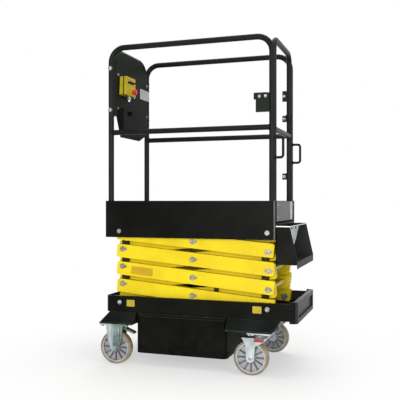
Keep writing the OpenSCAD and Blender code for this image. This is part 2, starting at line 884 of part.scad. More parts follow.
module panel_outline() {
  difference() {
    union() {
      translate([-hoop_y, panel_low]) square([2 * hoop_y, rail_z - end_bend - panel_low]);
      translate([end_bend - hoop_y, panel_low]) square([2 * (hoop_y - end_bend), rail_z - panel_low]);
      for (y = [end_bend - hoop_y, hoop_y - end_bend]) translate([y, rail_z - end_bend]) circle(end_bend);
    }
    polygon([[-hoop_y - 1, panel_low - 1], [panel_clip_near[0] - hoop_y, panel_low - 1],
      [-hoop_y - 1, panel_low + panel_clip_near[1]]]);
    polygon([[hoop_y + 1, panel_low - 1], [hoop_y - panel_clip_far[0], panel_low - 1],
      [hoop_y + 1, panel_low + panel_clip_far[1]]]);
  }
}

module control_panel() color(black) slab_x(panel_x, panel_face) panel_outline();

control_taper = 8;
bezel = 14;

module control_box() color(yellow) difference() {
  half = control_width / 2;
  slab_x(panel_face, panel_face + control_depth) translate([control_y, control_z]) polygon([[-half, 0],
    [half, 0], [half - control_taper, control_height], [control_taper - half, control_height]]);
  translate([panel_face + control_depth - 2, control_y - half + bezel, control_z + control_height / 2])
    cube([4, 2 * (half - bezel), control_height / 2 - bezel]);
}

module stop_button() color(red)
  translate([panel_face + control_depth, control_y + stop_d / 2, control_z + stop_d / 2 + 4]) {
    along_x(stop_d * 0.55, 0, 20);
    translate([16, 0, 0]) rotate([0, 90, 0]) rotate_extrude() polygon([[0, 0], [stop_d / 2 - 3, 0],
      [stop_d / 2, 4], [stop_d / 2 - 3, 12], [stop_d / 4, 16], [0, 17]]);
  }

gland_d = 16;
gland_drop = 34;
key_d = 24;

// cable gland under the control box and key switch beside it
module panel_fittings() color(zinc) {
  translate([panel_face + control_depth / 2, control_y + stop_d / 2, control_z - gland_drop]) {
    cylinder(d = gland_d, h = gland_drop);
    translate([0, 0, gland_drop / 3]) cylinder(d = gland_d * 1.5, h = gland_d, $fn = 6);
  }
  translate([panel_face, control_y + control_width / 2 + 1.5 * key_d, control_z + key_d / 2])
    along_x(key_d, 0, 18);
}

module document_pocket() color(black) translate([panel_face, control_y, pocket_z]) difference() {
  translate([0, -pocket_width / 2, 0]) cube([pocket_depth, pocket_width, pocket_height]);
  translate([pocket_wall, pocket_wall - pocket_width / 2, pocket_wall])
    cube([pocket_depth - 2 * pocket_wall, pocket_width - 2 * pocket_wall, pocket_height]);
  translate([0, 0, pocket_height])
    along_x(pocket_width / 2, pocket_depth - 2 * pocket_wall, pocket_depth + 1);
}

handle_bend = 16;

module grab_handles() color(black) both_sides()
  translate([post_front + tube_r, post_y, mid_z - handle_drop]) for (flip = [0, 1]) mirror([0, 0, flip]) {
    translate([0, 0, handle_height / 2]) along_x(handle_d, 0, handle_reach - handle_bend);
    translate([handle_reach, 0, 0]) cylinder(d = handle_d, h = handle_height / 2 - handle_bend);
    translate([handle_reach - handle_bend, 0, handle_height / 2 - handle_bend]) rotate([90, 0, 0])
      rotate_extrude(angle = 90) translate([handle_bend, 0]) circle(d = handle_d);
  }

ear_thick = 12;

// flat ear with a bolt hole on the platform side of the hinge post
module post_ear(z, height) {
  translate([post_front, post_y, z]) difference() {
    translate([-tube_r - ear_reach, -ear_thick / 2, 0]) cube([tube_r + ear_reach, ear_thick, height]);
    translate([0, 0, -1]) cylinder(d = tube_d, h = height + 2);
    translate([ear_thick - tube_r - ear_reach, 0, height / 2]) along_y(10, -ear_thick, ear_thick);
  }
}

module hinge(z) {
  translate([post_front, 0, z]) difference() {
    union() {
      translate([0, end_y, 0]) cylinder(d = tube_d + 2 * hinge_wall, h = hinge_height);
      translate([-ear_thick, end_y, 0]) cube([2 * ear_thick, post_y - end_y, hinge_height]);
    }
    translate([0, end_y, -1]) cylinder(d = tube_d + 2 * running, h = hinge_height + 2);
    translate([0, post_y, -1]) cylinder(d = tube_d, h = hinge_height + 2);
  }
  post_ear(z, hinge_height);
}

module gate_hinges() color(black) {
  hinge(mid_z - hinge_below);
  hinge(mid_z + hinge_above);
  post_ear(catch_z, catch_height);
}

latch_body = 24;

module latch_bracket() color(black) translate([post_front - tube_r, -post_y, mid_z + latch_above]) {
  translate([-latch_length, -3, 0]) cube([latch_length, 6, latch_height]);
  translate([0, 0, latch_height * 2 / 3]) linear_extrude(latch_height / 3) {
    translate([-latch_length, -latch_body / 2]) square([latch_length - latch_body / 2, latch_body]);
    translate([-latch_length, 0]) circle(d = latch_body);
  }
}

module step_stirrup() color(black) {
  front = riser_out + step_reach;
  both_sides() slab_y(step_half - step_wall, step_half) polygon([
    [riser_out, nosing_z], [riser_out + step_top_reach, nosing_z],
    [front, step_bottom + step_lip], [front, step_tread], [riser_out, step_tread]]);
  slab_y(1 - step_half, step_half - 1) polygon([
    [riser_out, step_tread], [front - step_wall, step_tread], [front - step_wall, step_bottom],
    [front, step_bottom], [front, step_bottom + step_lip], [front - step_wall, step_bottom + step_lip],
    [front - step_wall, step_tread + step_wall], [riser_out, step_tread + step_wall]]);
}

module step_riser() color(black) {
  translate([deck_front, -step_half, step_tread])
    cube([riser_thick, 2 * step_half, nosing_z + riser_thick - step_tread]);
  translate([deck_front, -step_half, nosing_z])
    cube([riser_thick + step_top_reach, 2 * step_half, riser_thick]);
}

// Gate

module gate_frame() color(black) {
  cross_hoop(post_front, end_y, gate_low, gate_z, gate_bend);
  translate([post_front, 0, gate_mid_z]) along_y(mid_d, -end_y, end_y);
}

// kept short of the hinge post, which it would meet when the gate stands open
module gate_kick_plate() color(black)
  translate([post_front + tube_r, -end_y - tube_r / 2, gate_low])
    cube([kick_thick, 2 * end_y + tube_r, kick_height]);

chassis_frame();
chassis_sides();
chassis_tracks();
cylinder_foot();
power_box();
battery_pack();
castor_brackets();
castor_heads();
fixed_forks();
fixed_axles();
brake_levers();
swivel_fork_near();
swivel_fork_far();
swivel_axle_near();
swivel_axle_far();
brake_pedal_near();
brake_pedal_far();
tread_back_near();
tread_back_far();
tread_front_near();
tread_front_far();
hub_back_near();
hub_back_far();
hub_front_near();
hub_front_far();
inner_arms_1();
inner_arms_2();
inner_arms_3();
inner_arms_4();
outer_arms_1();
outer_arms_2();
outer_arms_3();
outer_arms_4();
pins_1();
pins_2();
pins_3();
pins_4();
base_rollers();
platform_rollers();
cylinder_barrel();
cylinder_rod();
platform_frame();
platform_tracks();
deck();
toe_boards();
guardrail_near();
guardrail_far();
guardrail_end();
control_panel();
control_box();
stop_button();
panel_fittings();
document_pocket();
grab_handles();
gate_hinges();
latch_bracket();
step_stirrup();
step_riser();
gate_frame();
gate_kick_plate();
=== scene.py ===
import json
import math

import bmesh
import bpy
from mathutils import Matrix, Vector

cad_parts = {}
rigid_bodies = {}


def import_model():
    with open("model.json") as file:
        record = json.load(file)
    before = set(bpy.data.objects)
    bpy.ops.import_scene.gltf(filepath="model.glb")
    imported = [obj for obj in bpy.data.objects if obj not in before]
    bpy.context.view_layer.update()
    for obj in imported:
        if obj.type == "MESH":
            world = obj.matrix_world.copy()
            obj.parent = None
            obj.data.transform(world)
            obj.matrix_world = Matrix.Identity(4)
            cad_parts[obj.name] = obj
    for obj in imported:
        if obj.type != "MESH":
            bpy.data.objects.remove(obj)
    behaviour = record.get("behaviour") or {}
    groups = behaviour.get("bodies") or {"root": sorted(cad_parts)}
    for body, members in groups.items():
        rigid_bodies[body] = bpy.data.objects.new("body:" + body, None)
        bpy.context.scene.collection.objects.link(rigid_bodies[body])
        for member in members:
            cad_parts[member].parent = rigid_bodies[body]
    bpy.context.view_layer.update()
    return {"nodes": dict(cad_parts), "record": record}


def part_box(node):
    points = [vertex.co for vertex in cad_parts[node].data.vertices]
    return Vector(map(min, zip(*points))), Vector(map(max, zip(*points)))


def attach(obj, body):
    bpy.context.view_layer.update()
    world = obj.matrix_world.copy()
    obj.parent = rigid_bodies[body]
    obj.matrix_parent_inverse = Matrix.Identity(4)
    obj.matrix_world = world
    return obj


for leftover in list(bpy.data.objects):  # the startup cube, lamp and camera
    bpy.data.objects.remove(leftover)

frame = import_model()
nodes = frame["nodes"]
scene = bpy.context.scene
print("frame loaded with", len(nodes), "nodes")


class Field:
    # one output socket of a node tree; sums and products of fields add Math nodes

    def __init__(self, tree, socket=None):
        self.tree, self.socket = tree, socket

    def node(self, kind, settings=None, inputs=None, out=0):
        made = self.tree.nodes.new(kind)
        for key, value in (settings or {}).items():
            setattr(made, key, value)
        for key, value in (inputs or {}).items():
            if isinstance(value, Field):
                self.tree.links.new(value.socket, made.inputs[key])
            else:
                made.inputs[key].default_value = value
        return Field(self.tree, made.outputs[out] if made.outputs else None)

    def maths(self, operation, first, second):
        return self.node("ShaderNodeMath", {"operation": operation}, {0: first, 1: second})

    def __add__(self, other):
        return self.maths("ADD", self, other)

    def __radd__(self, other):
        return self.maths("ADD", other, self)

    def __sub__(self, other):
        return self.maths("SUBTRACT", self, other)

    def __rsub__(self, other):
        return self.maths("SUBTRACT", other, self)

    def __mul__(self, other):
        return self.maths("MULTIPLY", self, other)

    def __rmul__(self, other):
        return self.maths("MULTIPLY", other, self)

    def __mod__(self, other):
        return self.maths("FLOORED_MODULO", self, other)

    def ease(self, low, high):  # 0 below low, 1 above high, smooth between
        return self.node("ShaderNodeMapRange", {"interpolation_type": "SMOOTHSTEP"},
                         {"Value": self, "From Min": low, "From Max": high})

    def between(self, first, second):  # this field as the factor between two colours
        sockets = {0: self}
        for slot, colour in ((6, first), (7, second)):
            sockets[slot] = colour if isinstance(colour, Field) else (*colour, 1)
        return self.node("ShaderNodeMix", {"data_type": "RGBA"}, sockets, out=2)


def startMaterial(name):
    made = bpy.data.materials.new(name)
    made.use_nodes = True
    made.node_tree.nodes.clear()
    return made, Field(made.node_tree)


def noise(at, scale, detail=3.0, roughness=0.55, distortion=0.0):
    return at.node("ShaderNodeTexNoise", None, {
        "Vector": at, "Scale": scale, "Detail": detail, "Roughness": roughness, "Distortion": distortion})


def stretched(at, scale):  # the same place, drawn out along an axis
    return at.node("ShaderNodeMapping", None, {"Vector": at, "Scale": scale})


def bumped(height, strength, distance):
    return height.node("ShaderNodeBump", None, {"Height": height, "Strength": strength, "Distance": distance})


def closeMaterial(field, made, sockets):
    shader = field.node("ShaderNodeBsdfPrincipled", None, sockets)
    field.node("ShaderNodeOutputMaterial", None, {"Surface": shader})
    return made


def objectPlace(field):
    return field.node("ShaderNodeTexCoord", None, None, out="Object")


def heightOf(at):
    return at.node("ShaderNodeSeparateXYZ", None, {0: at}, out=2)


def lengthOf(at):
    return at.node("ShaderNodeSeparateXYZ", None, {0: at}, out=0)


def widthOf(at):  # distance from the middle plane, either side
    return at.maths("ABSOLUTE", at.node("ShaderNodeSeparateXYZ", None, {0: at}, out=1), 0.0)


def past(value, place, blur=0.0006):  # 0 up to a place, 1 beyond it
    return value.ease(place, place + blur)


def paintedLightShare(at, look):  # 1 where a band of painted light goes: between two heights, or below one and beyond a length
    if "paintedLightAbove" in look:
        return (1 - past(heightOf(at), look["paintedLightUpTo"], 0.0003)) * past(heightOf(at), look["paintedLightAbove"])
    return (1 - past(heightOf(at), look["paintedLightBelow"])) * past(lengthOf(at), look["paintedLightBeyond"])


# paint: two tones in soft patches, dust low down, fine rubbed marks and orange peel
def paintCoat(name, look):
    made, start = startMaterial(name)
    at = objectPlace(start)
    patches = noise(at, look["patchScale"], 4.0, 0.6)
    colour = patches.ease(0.3, 0.7).between(look["dark"], look["light"])
    rubbed = noise(stretched(at, look["rubStretch"]), 46.0, 5.0, 0.7).ease(0.62, 0.78)
    colour = (rubbed * look["rub"]).between(colour, look["rubTone"])
    low = 1 - heightOf(at).ease(look["dustLow"], look["dustHigh"])
    dust = low * noise(at, 22.0, 5.0, 0.65).ease(0.35, 0.75)
    colour = (dust * look["dust"]).between(colour, look["dustTone"])
    chips = noise(at, look["chipScale"], 6.0, 0.72).ease(0.73, 0.745)
    colour = (chips * look["chips"]).between(colour, look["chipTone"])
    metal = 0.0
    # painted fill light: faces within a half width of the middle plane get a lighter tone, lifting the shade
    # inside
    if "paintedFillTone" in look:
        inside = 1 - past(widthOf(at), look["paintedFillHalf"])
        colour = (inside * (0.6 + noise(at, 12.0, 4.0) * 0.4)).between(colour, look["paintedFillTone"])
    # painted light: a lighter tone, streaked along Y, laid over the band a look gives; some looks also make
    # it metallic
    if "paintedLightTone" in look:
        bareAndPaintedLight = paintedLightShare(at, look)
        paintedLightStreaks = noise(stretched(at, (1.0, 0.06, 1.0)), 150.0).ease(0.1, 0.5)
        colour = (bareAndPaintedLight * paintedLightStreaks).between(colour, look["paintedLightTone"])
        metal = bareAndPaintedLight * look["paintedLightMetal"]
    rough = look["rough"] + noise(at, 9.0, 4.0) * look["roughSpread"] + rubbed * 0.08 + dust * 0.2
    peel = noise(at, look["peelScale"], 2.0, 0.5) - chips * 0.6
    return closeMaterial(start, made, {
        "Base Color": colour, "Roughness": rough, "Metallic": metal, "IOR": 1.5,
        "Specular IOR Level": look["specular"], "Coat Weight": look["coat"], "Coat Roughness": 0.25,
        "Normal": bumped(peel, look["peel"], 0.0006)})


# edges rubbed through the paint in places
def wornEdge(name, look):
    made, start = startMaterial(name)
    at = objectPlace(start)
    worn = noise(at, look["wearScale"], 5.0, 0.68).ease(0.5, 0.66)
    colour = worn.between(look["paint"], look["bareAndPaintedLight"])
    return closeMaterial(start, made, {
        "Base Color": colour, "Roughness": 0.42 + noise(at, 60.0) * 0.2, "Metallic": worn * 0.7,
        "Specular IOR Level": 0.3, "Normal": bumped(noise(at, 300.0), 0.15, 0.0005)})


def coverShare(at, look):  # 1 where metal is painted over: inside a width, or beyond a length
    if "coverInside" in look:
        return 1 - past(widthOf(at), look["coverInside"], 0.001)
    return past(lengthOf(at), look["coverBeyond"], 0.001)


# plated or bare metal with fine lines and cloudy plating
def platedMetal(name, look):
    made, start = startMaterial(name)
    at = objectPlace(start)
    clouds = noise(at, look["cloudScale"], 4.0, 0.6)
    lines = noise(stretched(at, look["lineStretch"]), look["lineScale"], 3.0, 0.6)
    colour = clouds.ease(0.3, 0.72).between(look["dark"], look["light"])
    spots = noise(at, 70.0, 5.0, 0.7).ease(0.66, 0.76)
    colour = (spots * look["spots"]).between(colour, look["spotTone"])
    metal = look["metallic"]
    if "flankHighlightTone" in look:  # painted highlight: a pale plating tone along one flank, streaked by the fine lines
        flankHighlight = (1 - past(lengthOf(at), look["flankHighlightBefore"], look["flankHighlightFade"])) * lines.ease(0.2, 0.6)
        colour = flankHighlight.between(colour, look["flankHighlightTone"])
    # outer faces: dark painted shade flecked with painted highlight
    if "tipShadeTone" in look:
        tip = noise(at, 210.0, 2.0).ease(0.4, 0.62).between(look["tipShadeTone"], look["tipHighlightTone"])
        colour = past(widthOf(at), look["tipBeyond"], 0.0004).between(colour, tip)
    if "coverTone" in look:
        over = coverShare(at, look)
        colour, metal = over.between(colour, look["coverTone"]), (1 - over) * metal
    rough = look["rough"] + (clouds - 0.5) * look["roughSpread"] + (lines - 0.5) * 0.12 + spots * 0.15
    return closeMaterial(start, made, {
        "Base Color": colour, "Roughness": rough, "Metallic": metal, "Specular IOR Level": look["specular"],
        "Normal": bumped(lines + clouds * 0.3, look["bump"], 0.0004)})


def spokeShadeShare(at, look):  # 1 along the ribs of a wheel's web, where painted shade darkens them
    across, up = lengthOf(at) - look["hubX"], heightOf(at) - look["hubZ"]
    radius = at.maths("SQRT", across * across + up * up, 0.0)
    sector = 2 * math.pi / look["spokes"]
    turn = at.maths("ARCTAN2", up, across) % sector
    away = radius * at.maths("MINIMUM", turn, sector - turn)
    web = past(radius, look["webFrom"], 0.002) * (1 - past(radius, look["webTo"] - 0.002, 0.002))
    return web * (1 - past(away, look["ribHalf"], 0.002))


# moulded plastic or rubber with a fine grain
def mouldedSkin(name, look):
    made, start = startMaterial(name)
    at = objectPlace(start)
    cloud = noise(at, look["cloudScale"], 4.0, 0.6)
    colour = cloud.ease(0.3, 0.7).between(look["dark"], look["light"])
    scuffs = noise(stretched(at, look["scuffStretch"]), 60.0, 5.0, 0.7).ease(0.6, 0.76)
    colour = (scuffs * look["scuffs"]).between(colour, look["scuffTone"])
    # painted shade along the ribs of the web
    if "spokeShadeTone" in look:
        colour = (spokeShadeShare(at, look) * 0.85).between(colour, look["spokeShadeTone"])
    grain = noise(at, look["grainScale"], 3.0, 0.6)
    rough = look["rough"] + (cloud - 0.5) * look["roughSpread"] + scuffs * 0.1
    return closeMaterial(start, made, {
        "Base Color": colour, "Roughness": rough, "Metallic": 0.0, "Specular IOR Level": look["specular"],
        "Normal": bumped(grain, look["grain"], 0.0005)})


stepFoldZ = 0.6465  # where the step's sides fold into its tread
frameBlackLook = {
    "dark": (0.0028, 0.003, 0.0022), "light": (0.0056, 0.006, 0.0042), "patchScale": 5.0,
    "rub": 0.25, "rubTone": (0.018, 0.019, 0.016), "rubStretch": (1.0, 1.0, 0.2),
    "dust": 0.1, "dustLow": 0.08, "dustHigh": 0.4, "dustTone": (0.07, 0.064, 0.05),
    "chips": 0.4, "chipScale": 34.0, "chipTone": (0.1, 0.1, 0.095),
    "rough": 0.3, "roughSpread": 0.14, "specular": 0.05, "coat": 0.0, "peel": 0.1, "peelScale": 620.0}
tubeBlackLook = dict(frameBlackLook, dark=(0.005, 0.0066, 0.0048), light=(0.0088, 0.0114, 0.0084), dust=0.0,
                     rough=0.26, specular=0.08)
# panel: a lighter tone above 1.806 m is painted light, so the panel below reads as lying in the top rail's
# shadow
panelBlackLook = dict(tubeBlackLook, rough=0.46, specular=0.03, paintedLightAbove=1.806, paintedLightUpTo=2.0,
                      paintedLightTone=(0.007, 0.0105, 0.006), paintedLightMetal=0.0)
bracketBlackLook = dict(frameBlackLook, dark=(0.0068, 0.009, 0.0074), light=(0.014, 0.0175, 0.015),
                        rough=0.55, specular=0.0)
boxBlackLook = dict(frameBlackLook, dust=0.05, specular=0.025)
# kick plate: its grey base is a painted reflection of the pale floor on black paint
kickReflectionLook = dict(tubeBlackLook, dark=(0.045, 0.047, 0.046), light=(0.064, 0.066, 0.065), rough=0.34,
                    specular=0.25)
# toe boards: a grey painted highlight over their +X ends
boardLook = dict(frameBlackLook, paintedLightBelow=2.0, paintedLightBeyond=0.4675, paintedLightTone=(0.1, 0.1, 0.105), paintedLightMetal=0.1)
# riser: painted fill light on the faces between its sides, and a bright metallic strip along its top edge as
# a painted highlight
riserLook = dict(frameBlackLook, specular=0.0, paintedFillHalf=0.2785, paintedFillTone=(0.03, 0.033, 0.032),
                 paintedLightAbove=0.8385, paintedLightUpTo=0.8444, paintedLightTone=(0.62, 0.63, 0.64), paintedLightMetal=0.8)
# chassis: painted fill light on its inner walls
chassisLook = dict(frameBlackLook, paintedFillHalf=0.2885, paintedFillTone=(0.03, 0.033, 0.031))
# step: painted fill light on the faces between its sides, and a grey painted sheen on the lip below the fold
stepLook = dict(frameBlackLook, dark=(0.0075, 0.008, 0.0065), light=(0.0135, 0.0142, 0.0115), specular=0.01,
                paintedFillHalf=0.2785, paintedFillTone=(0.04, 0.044, 0.042), paintedLightBelow=stepFoldZ, paintedLightBeyond=0.5955,
                paintedLightTone=(0.032, 0.034, 0.032), paintedLightMetal=0.0)
armYellowLook = {
    "dark": (0.64, 0.48, 0.008), "light": (0.73, 0.57, 0.011), "patchScale": 4.0,
    "rub": 0.2, "rubTone": (0.52, 0.37, 0.03), "rubStretch": (0.15, 1.0, 1.0),
    "dust": 0.04, "dustLow": 0.3, "dustHigh": 0.8, "dustTone": (0.3, 0.22, 0.06),
    "chips": 0.6, "chipScale": 30.0, "chipTone": (0.16, 0.13, 0.07),
    "rough": 0.36, "roughSpread": 0.16, "specular": 0.14, "coat": 0.0, "peel": 0.12, "peelScale": 520.0}
tagYellowLook = dict(armYellowLook, dark=(0.38, 0.295, 0.025), light=(0.45, 0.355, 0.034), patchScale=14.0,
                     chips=0.2, rough=0.42)
armTagLook = dict(tagYellowLook, dark=(0.43, 0.265, 0.01), light=(0.51, 0.32, 0.013))
plateGreyLook = dict(armYellowLook, dark=(0.4, 0.41, 0.42), light=(0.56, 0.57, 0.58), patchScale=10.0,
                     rubTone=(0.3, 0.3, 0.3), dust=0.0, chipTone=(0.2, 0.2, 0.2), rough=0.4)
panelPlateLook = dict(plateGreyLook, dark=(0.27, 0.295, 0.285), light=(0.39, 0.42, 0.405))
zincLook = {
    "dark": (0.32, 0.36, 0.37), "light": (0.54, 0.59, 0.6), "cloudScale": 13.0, "metallic": 0.85,
    "lineStretch": (1.0, 1.0, 0.1), "lineScale": 130.0, "spots": 0.3, "spotTone": (0.22, 0.21, 0.18),
    "rough": 0.3, "roughSpread": 0.2, "specular": 0.5, "bump": 0.08}
# pins: zinc tones darkened as painted shade, outer faces dark painted shade flecked with painted highlight;
# the middles of the shafts are painted yellow
pinShadeZincLook = dict(zincLook, dark=(0.14, 0.135, 0.095), light=(0.32, 0.31, 0.23), cloudScale=60.0, rough=0.36,
                   coverInside=0.2, coverTone=(0.5, 0.38, 0.012), tipBeyond=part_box("pins_1")[1].y - 0.0016,
                   tipShadeTone=(0.07, 0.065, 0.045), tipHighlightTone=(0.5, 0.48, 0.4))
boltZincLook = dict(zincLook, dark=(0.16, 0.17, 0.17), light=(0.42, 0.44, 0.44), cloudScale=60.0, rough=0.38)
leverZincLook = dict(zincLook, dark=(0.1, 0.15, 0.12), light=(0.22, 0.29, 0.24), rough=0.36)
# step bracket: bright zinc standing for a painted highlight
cornerHighlightZincLook = dict(zincLook, dark=(0.2, 0.22, 0.23), light=(0.39, 0.42, 0.43), cloudScale=22.0,
                      metallic=0.6, lineStretch=(1.0, 0.08, 1.0), rough=0.5, specular=0.2)
# fork: a painted highlight of pale plating along its -X flank
forkZincLook = dict(zincLook, dark=(0.1, 0.14, 0.125), light=(0.28, 0.35, 0.325), rough=0.32,
                    flankHighlightBefore=-0.52, flankHighlightFade=0.016, flankHighlightTone=(0.46, 0.51, 0.52))
brightPlateLook = dict(zincLook, dark=(0.5, 0.51, 0.52), light=(0.72, 0.73, 0.74), metallic=0.85,
                       lineStretch=(1.0, 0.06, 1.0), lineScale=150.0, rough=0.34, bump=0.12)
deckLook = dict(brightPlateLook, coverBeyond=0.43, coverTone=(0.006, 0.006, 0.005), specular=0.0)
chromeLook = dict(zincLook, dark=(0.66, 0.67, 0.68), light=(0.8, 0.81, 0.82), metallic=1.0, rough=0.1,
                  roughSpread=0.06, spots=0.1, bump=0.02)
treadLook = {
    "dark": (0.16, 0.121, 0.078), "light": (0.265, 0.208, 0.136), "cloudScale": 18.0,
    "scuffs": 0.4, "scuffTone": (0.12, 0.085, 0.055), "scuffStretch": (1.0, 0.3, 1.0),
    "grainScale": 420.0, "grain": 0.14, "rough": 0.5, "roughSpread": 0.2, "specular": 0.35}
hubLow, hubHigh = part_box("hub_back_near")
frontLow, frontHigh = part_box("hub_front_near")
# hubs: ribs darkened as painted shade
hubLook = dict(treadLook, dark=(0.28, 0.285, 0.295), light=(0.38, 0.385, 0.395), scuffs=0.3,
               scuffTone=(0.16, 0.155, 0.15), grain=0.1, rough=0.46, spokes=12, ribHalf=0.0032,
               webFrom=0.025, webTo=hubHigh.x / 2 - hubLow.x / 2 - 0.006, spokeShadeTone=(0.07, 0.075, 0.08),
               hubX=(hubLow.x + hubHigh.x) / 2, hubZ=(hubLow.z + hubHigh.z) / 2)
frontHubLook = dict(hubLook, dark=(0.33, 0.335, 0.345), light=(0.45, 0.455, 0.465),
                    hubX=(frontLow.x + frontHigh.x) / 2)
pocketLook = dict(treadLook, dark=(0.0035, 0.004, 0.0038), light=(0.0075, 0.0082, 0.008), scuffs=0.2,
                  scuffTone=(0.05, 0.05, 0.05), grain=0.25, grainScale=700.0, rough=0.5, specular=0.025)
stopRubberLook = dict(pocketLook, dark=(0.017, 0.014, 0.004), light=(0.03, 0.024, 0.007), rough=0.7,
                      specular=0.05)
boxYellowLook = dict(treadLook, dark=(0.33, 0.25, 0.0085), light=(0.43, 0.325, 0.012), scuffs=0.25,
                     scuffTone=(0.26, 0.2, 0.04), grain=0.16, grainScale=800.0, rough=0.4, specular=0.15)
redLook = dict(boxYellowLook, dark=(0.4, 0.012, 0.01), light=(0.52, 0.02, 0.016),
               scuffTone=(0.25, 0.05, 0.04), rough=0.3)
pedalLook = dict(redLook, dark=(0.3, 0.045, 0.038), light=(0.42, 0.09, 0.08), scuffs=0.6,
                 scuffTone=(0.45, 0.3, 0.28))
batteryLook = dict(pocketLook, dark=(0.05, 0.055, 0.06), light=(0.08, 0.085, 0.09))

frameBlack = paintCoat("frameBlack", frameBlackLook)
tubeBlack = paintCoat("tubeBlack", tubeBlackLook)
panelBlack = paintCoat("panelBlack", panelBlackLook)
bracketBlack = paintCoat("bracketBlack", bracketBlackLook)
boxBlack = paintCoat("boxBlack", boxBlackLook)
kickReflectionGrey = paintCoat("kickReflectionGrey", kickReflectionLook)
riserPaint = paintCoat("riserPaint", riserLook)
stepPaint = paintCoat("stepPaint", stepLook)
boardPaint = paintCoat("boardPaint", boardLook)
chassisPaint = paintCoat("chassisPaint", chassisLook)
armYellow = paintCoat("armYellow", armYellowLook)
tagYellow = paintCoat("tagYellow", tagYellowLook)
armTagYellow = paintCoat("armTagYellow", armTagLook)
plateGrey = paintCoat("plateGrey", plateGreyLook)
panelPlateGrey = paintCoat("panelPlateGrey", panelPlateLook)
zincPlate = platedMetal("zincPlate", zincLook)
pinShadeZinc = platedMetal("pinShadeZinc", pinShadeZincLook)
boltZinc = platedMetal("boltZinc", boltZincLook)
leverZinc = platedMetal("leverZinc", leverZincLook)
cornerHighlightZinc = platedMetal("cornerHighlightZinc", cornerHighlightZincLook)
forkZinc = platedMetal("forkZinc", forkZincLook)
brightPlate = platedMetal("brightPlate", brightPlateLook)
deckPlate = platedMetal("deckPlate", deckLook)
rodChrome = platedMetal("rodChrome", chromeLook)
treadBrown = mouldedSkin("treadBrown", treadLook)
hubGrey = mouldedSkin("hubGrey", hubLook)
frontHubGrey = mouldedSkin("frontHubGrey", frontHubLook)
pocketBlack = mouldedSkin("pocketBlack", pocketLook)
stopRubber = mouldedSkin("stopRubber", stopRubberLook)
boxYellow = mouldedSkin("boxYellow", boxYellowLook)
signalRed = mouldedSkin("signalRed", redLook)
pedalRed = mouldedSkin("pedalRed", pedalLook)
batteryGrey = mouldedSkin("batteryGrey", batteryLook)
blackEdge = wornEdge("blackEdge", {
    "paint": (0.009, 0.0095, 0.008), "bareAndPaintedLight": (0.09, 0.09, 0.085), "wearScale": 38.0})
yellowEdge = wornEdge("yellowEdge", {
    "paint": (0.74, 0.55, 0.012), "bareAndPaintedLight": (0.34, 0.27, 0.1), "wearScale": 30.0})
print("finishes ready:", len(bpy.data.materials))

slotFinish = {
    "frame_black": (frameBlack, blackEdge), "battery_grey": (batteryGrey, None), "zinc": (zincPlate, None),
    "pedal_red": (signalRed, None), "tread_brown": (treadBrown, None), "hub_grey": (hubGrey, None),
    "arm_yellow": (armYellow, yellowEdge), "box_yellow": (boxYellow, None),
    "pocket_black": (pocketBlack, None), "rod_chrome": (rodChrome, None), "bright_plate": (brightPlate, None)}
ownFinish = {
    "brake_pedal_near": (pedalRed, None), "brake_pedal_far": (pedalRed, None),
    "brake_levers": (leverZinc, None), "fixed_forks": (forkZinc, None),
    "hub_front_near": (frontHubGrey, None), "hub_front_far": (frontHubGrey, None),
    "castor_brackets": (bracketBlack, blackEdge), "power_box": (boxBlack, blackEdge),
    "chassis_frame": (chassisPaint, blackEdge), "chassis_sides": (chassisPaint, None),
    "control_panel": (panelBlack, blackEdge), "latch_bracket": (tubeBlack, blackEdge),
    "toe_boards": (boardPaint, blackEdge), "deck": (deckPlate, None), "step_riser": (riserPaint, riserPaint),
    "step_stirrup": (stepPaint, blackEdge), "gate_kick_plate": (kickReflectionGrey, blackEdge)}
edgeWidth = {
    "toe_boards": 0.0009, "chassis_frame": 0.0005, "power_box": 0.0015, "platform_frame": 0.0008,
    "castor_brackets": 0.0015, "step_stirrup": 0.0012, "step_riser": 0.0012, "control_panel": 0.0008,
    "control_box": 0.003, "gate_kick_plate": 0.0008, "latch_bracket": 0.001, "document_pocket": 0.001,
    "fixed_forks": 0.001, "brake_levers": 0.0012, "brake_pedal_near": 0.0015, "brake_pedal_far": 0.0015,
    "deck": 0.0008, "cylinder_foot": 0.0015, "battery_pack": 0.004}
tubeWork = ("guardrail_near", "guardrail_far", "guardrail_end", "gate_frame", "grab_handles", "gate_hinges")
for name in tubeWork:
    ownFinish[name] = (tubeBlack, None)
for level in range(1, 5):
    ownFinish["pins_%d" % level] = (pinShadeZinc, None)
    edgeWidth["inner_arms_%d" % level] = edgeWidth["outer_arms_%d" % level] = 0.002


# joins the CAD triangles' seams before an edge is rounded; only what is evaluated changes
def makeSeamTree():
    tree = bpy.data.node_groups.new("seamJoin", "GeometryNodeTree")
    tree.interface.new_socket("Geometry", in_out="INPUT", socket_type="NodeSocketGeometry")
    distance = tree.interface.new_socket("Distance", in_out="INPUT", socket_type="NodeSocketFloat")
    distance.default_value = 0.00001
    tree.interface.new_socket("Geometry", in_out="OUTPUT", socket_type="NodeSocketGeometry")
    start = Field(tree)
    source = start.node("NodeGroupInput")
    gap = Field(tree, source.socket.node.outputs["Distance"])
    plain = start.node("GeometryNodeRemoveAttribute", None, {"Geometry": source, "Name": "custom_normal"})
    merged = start.node("GeometryNodeMergeByDistance", None, {"Geometry": plain, "Distance": gap})
    start.node("NodeGroupOutput", None, {"Geometry": merged})
    return tree


seamTree = makeSeamTree()


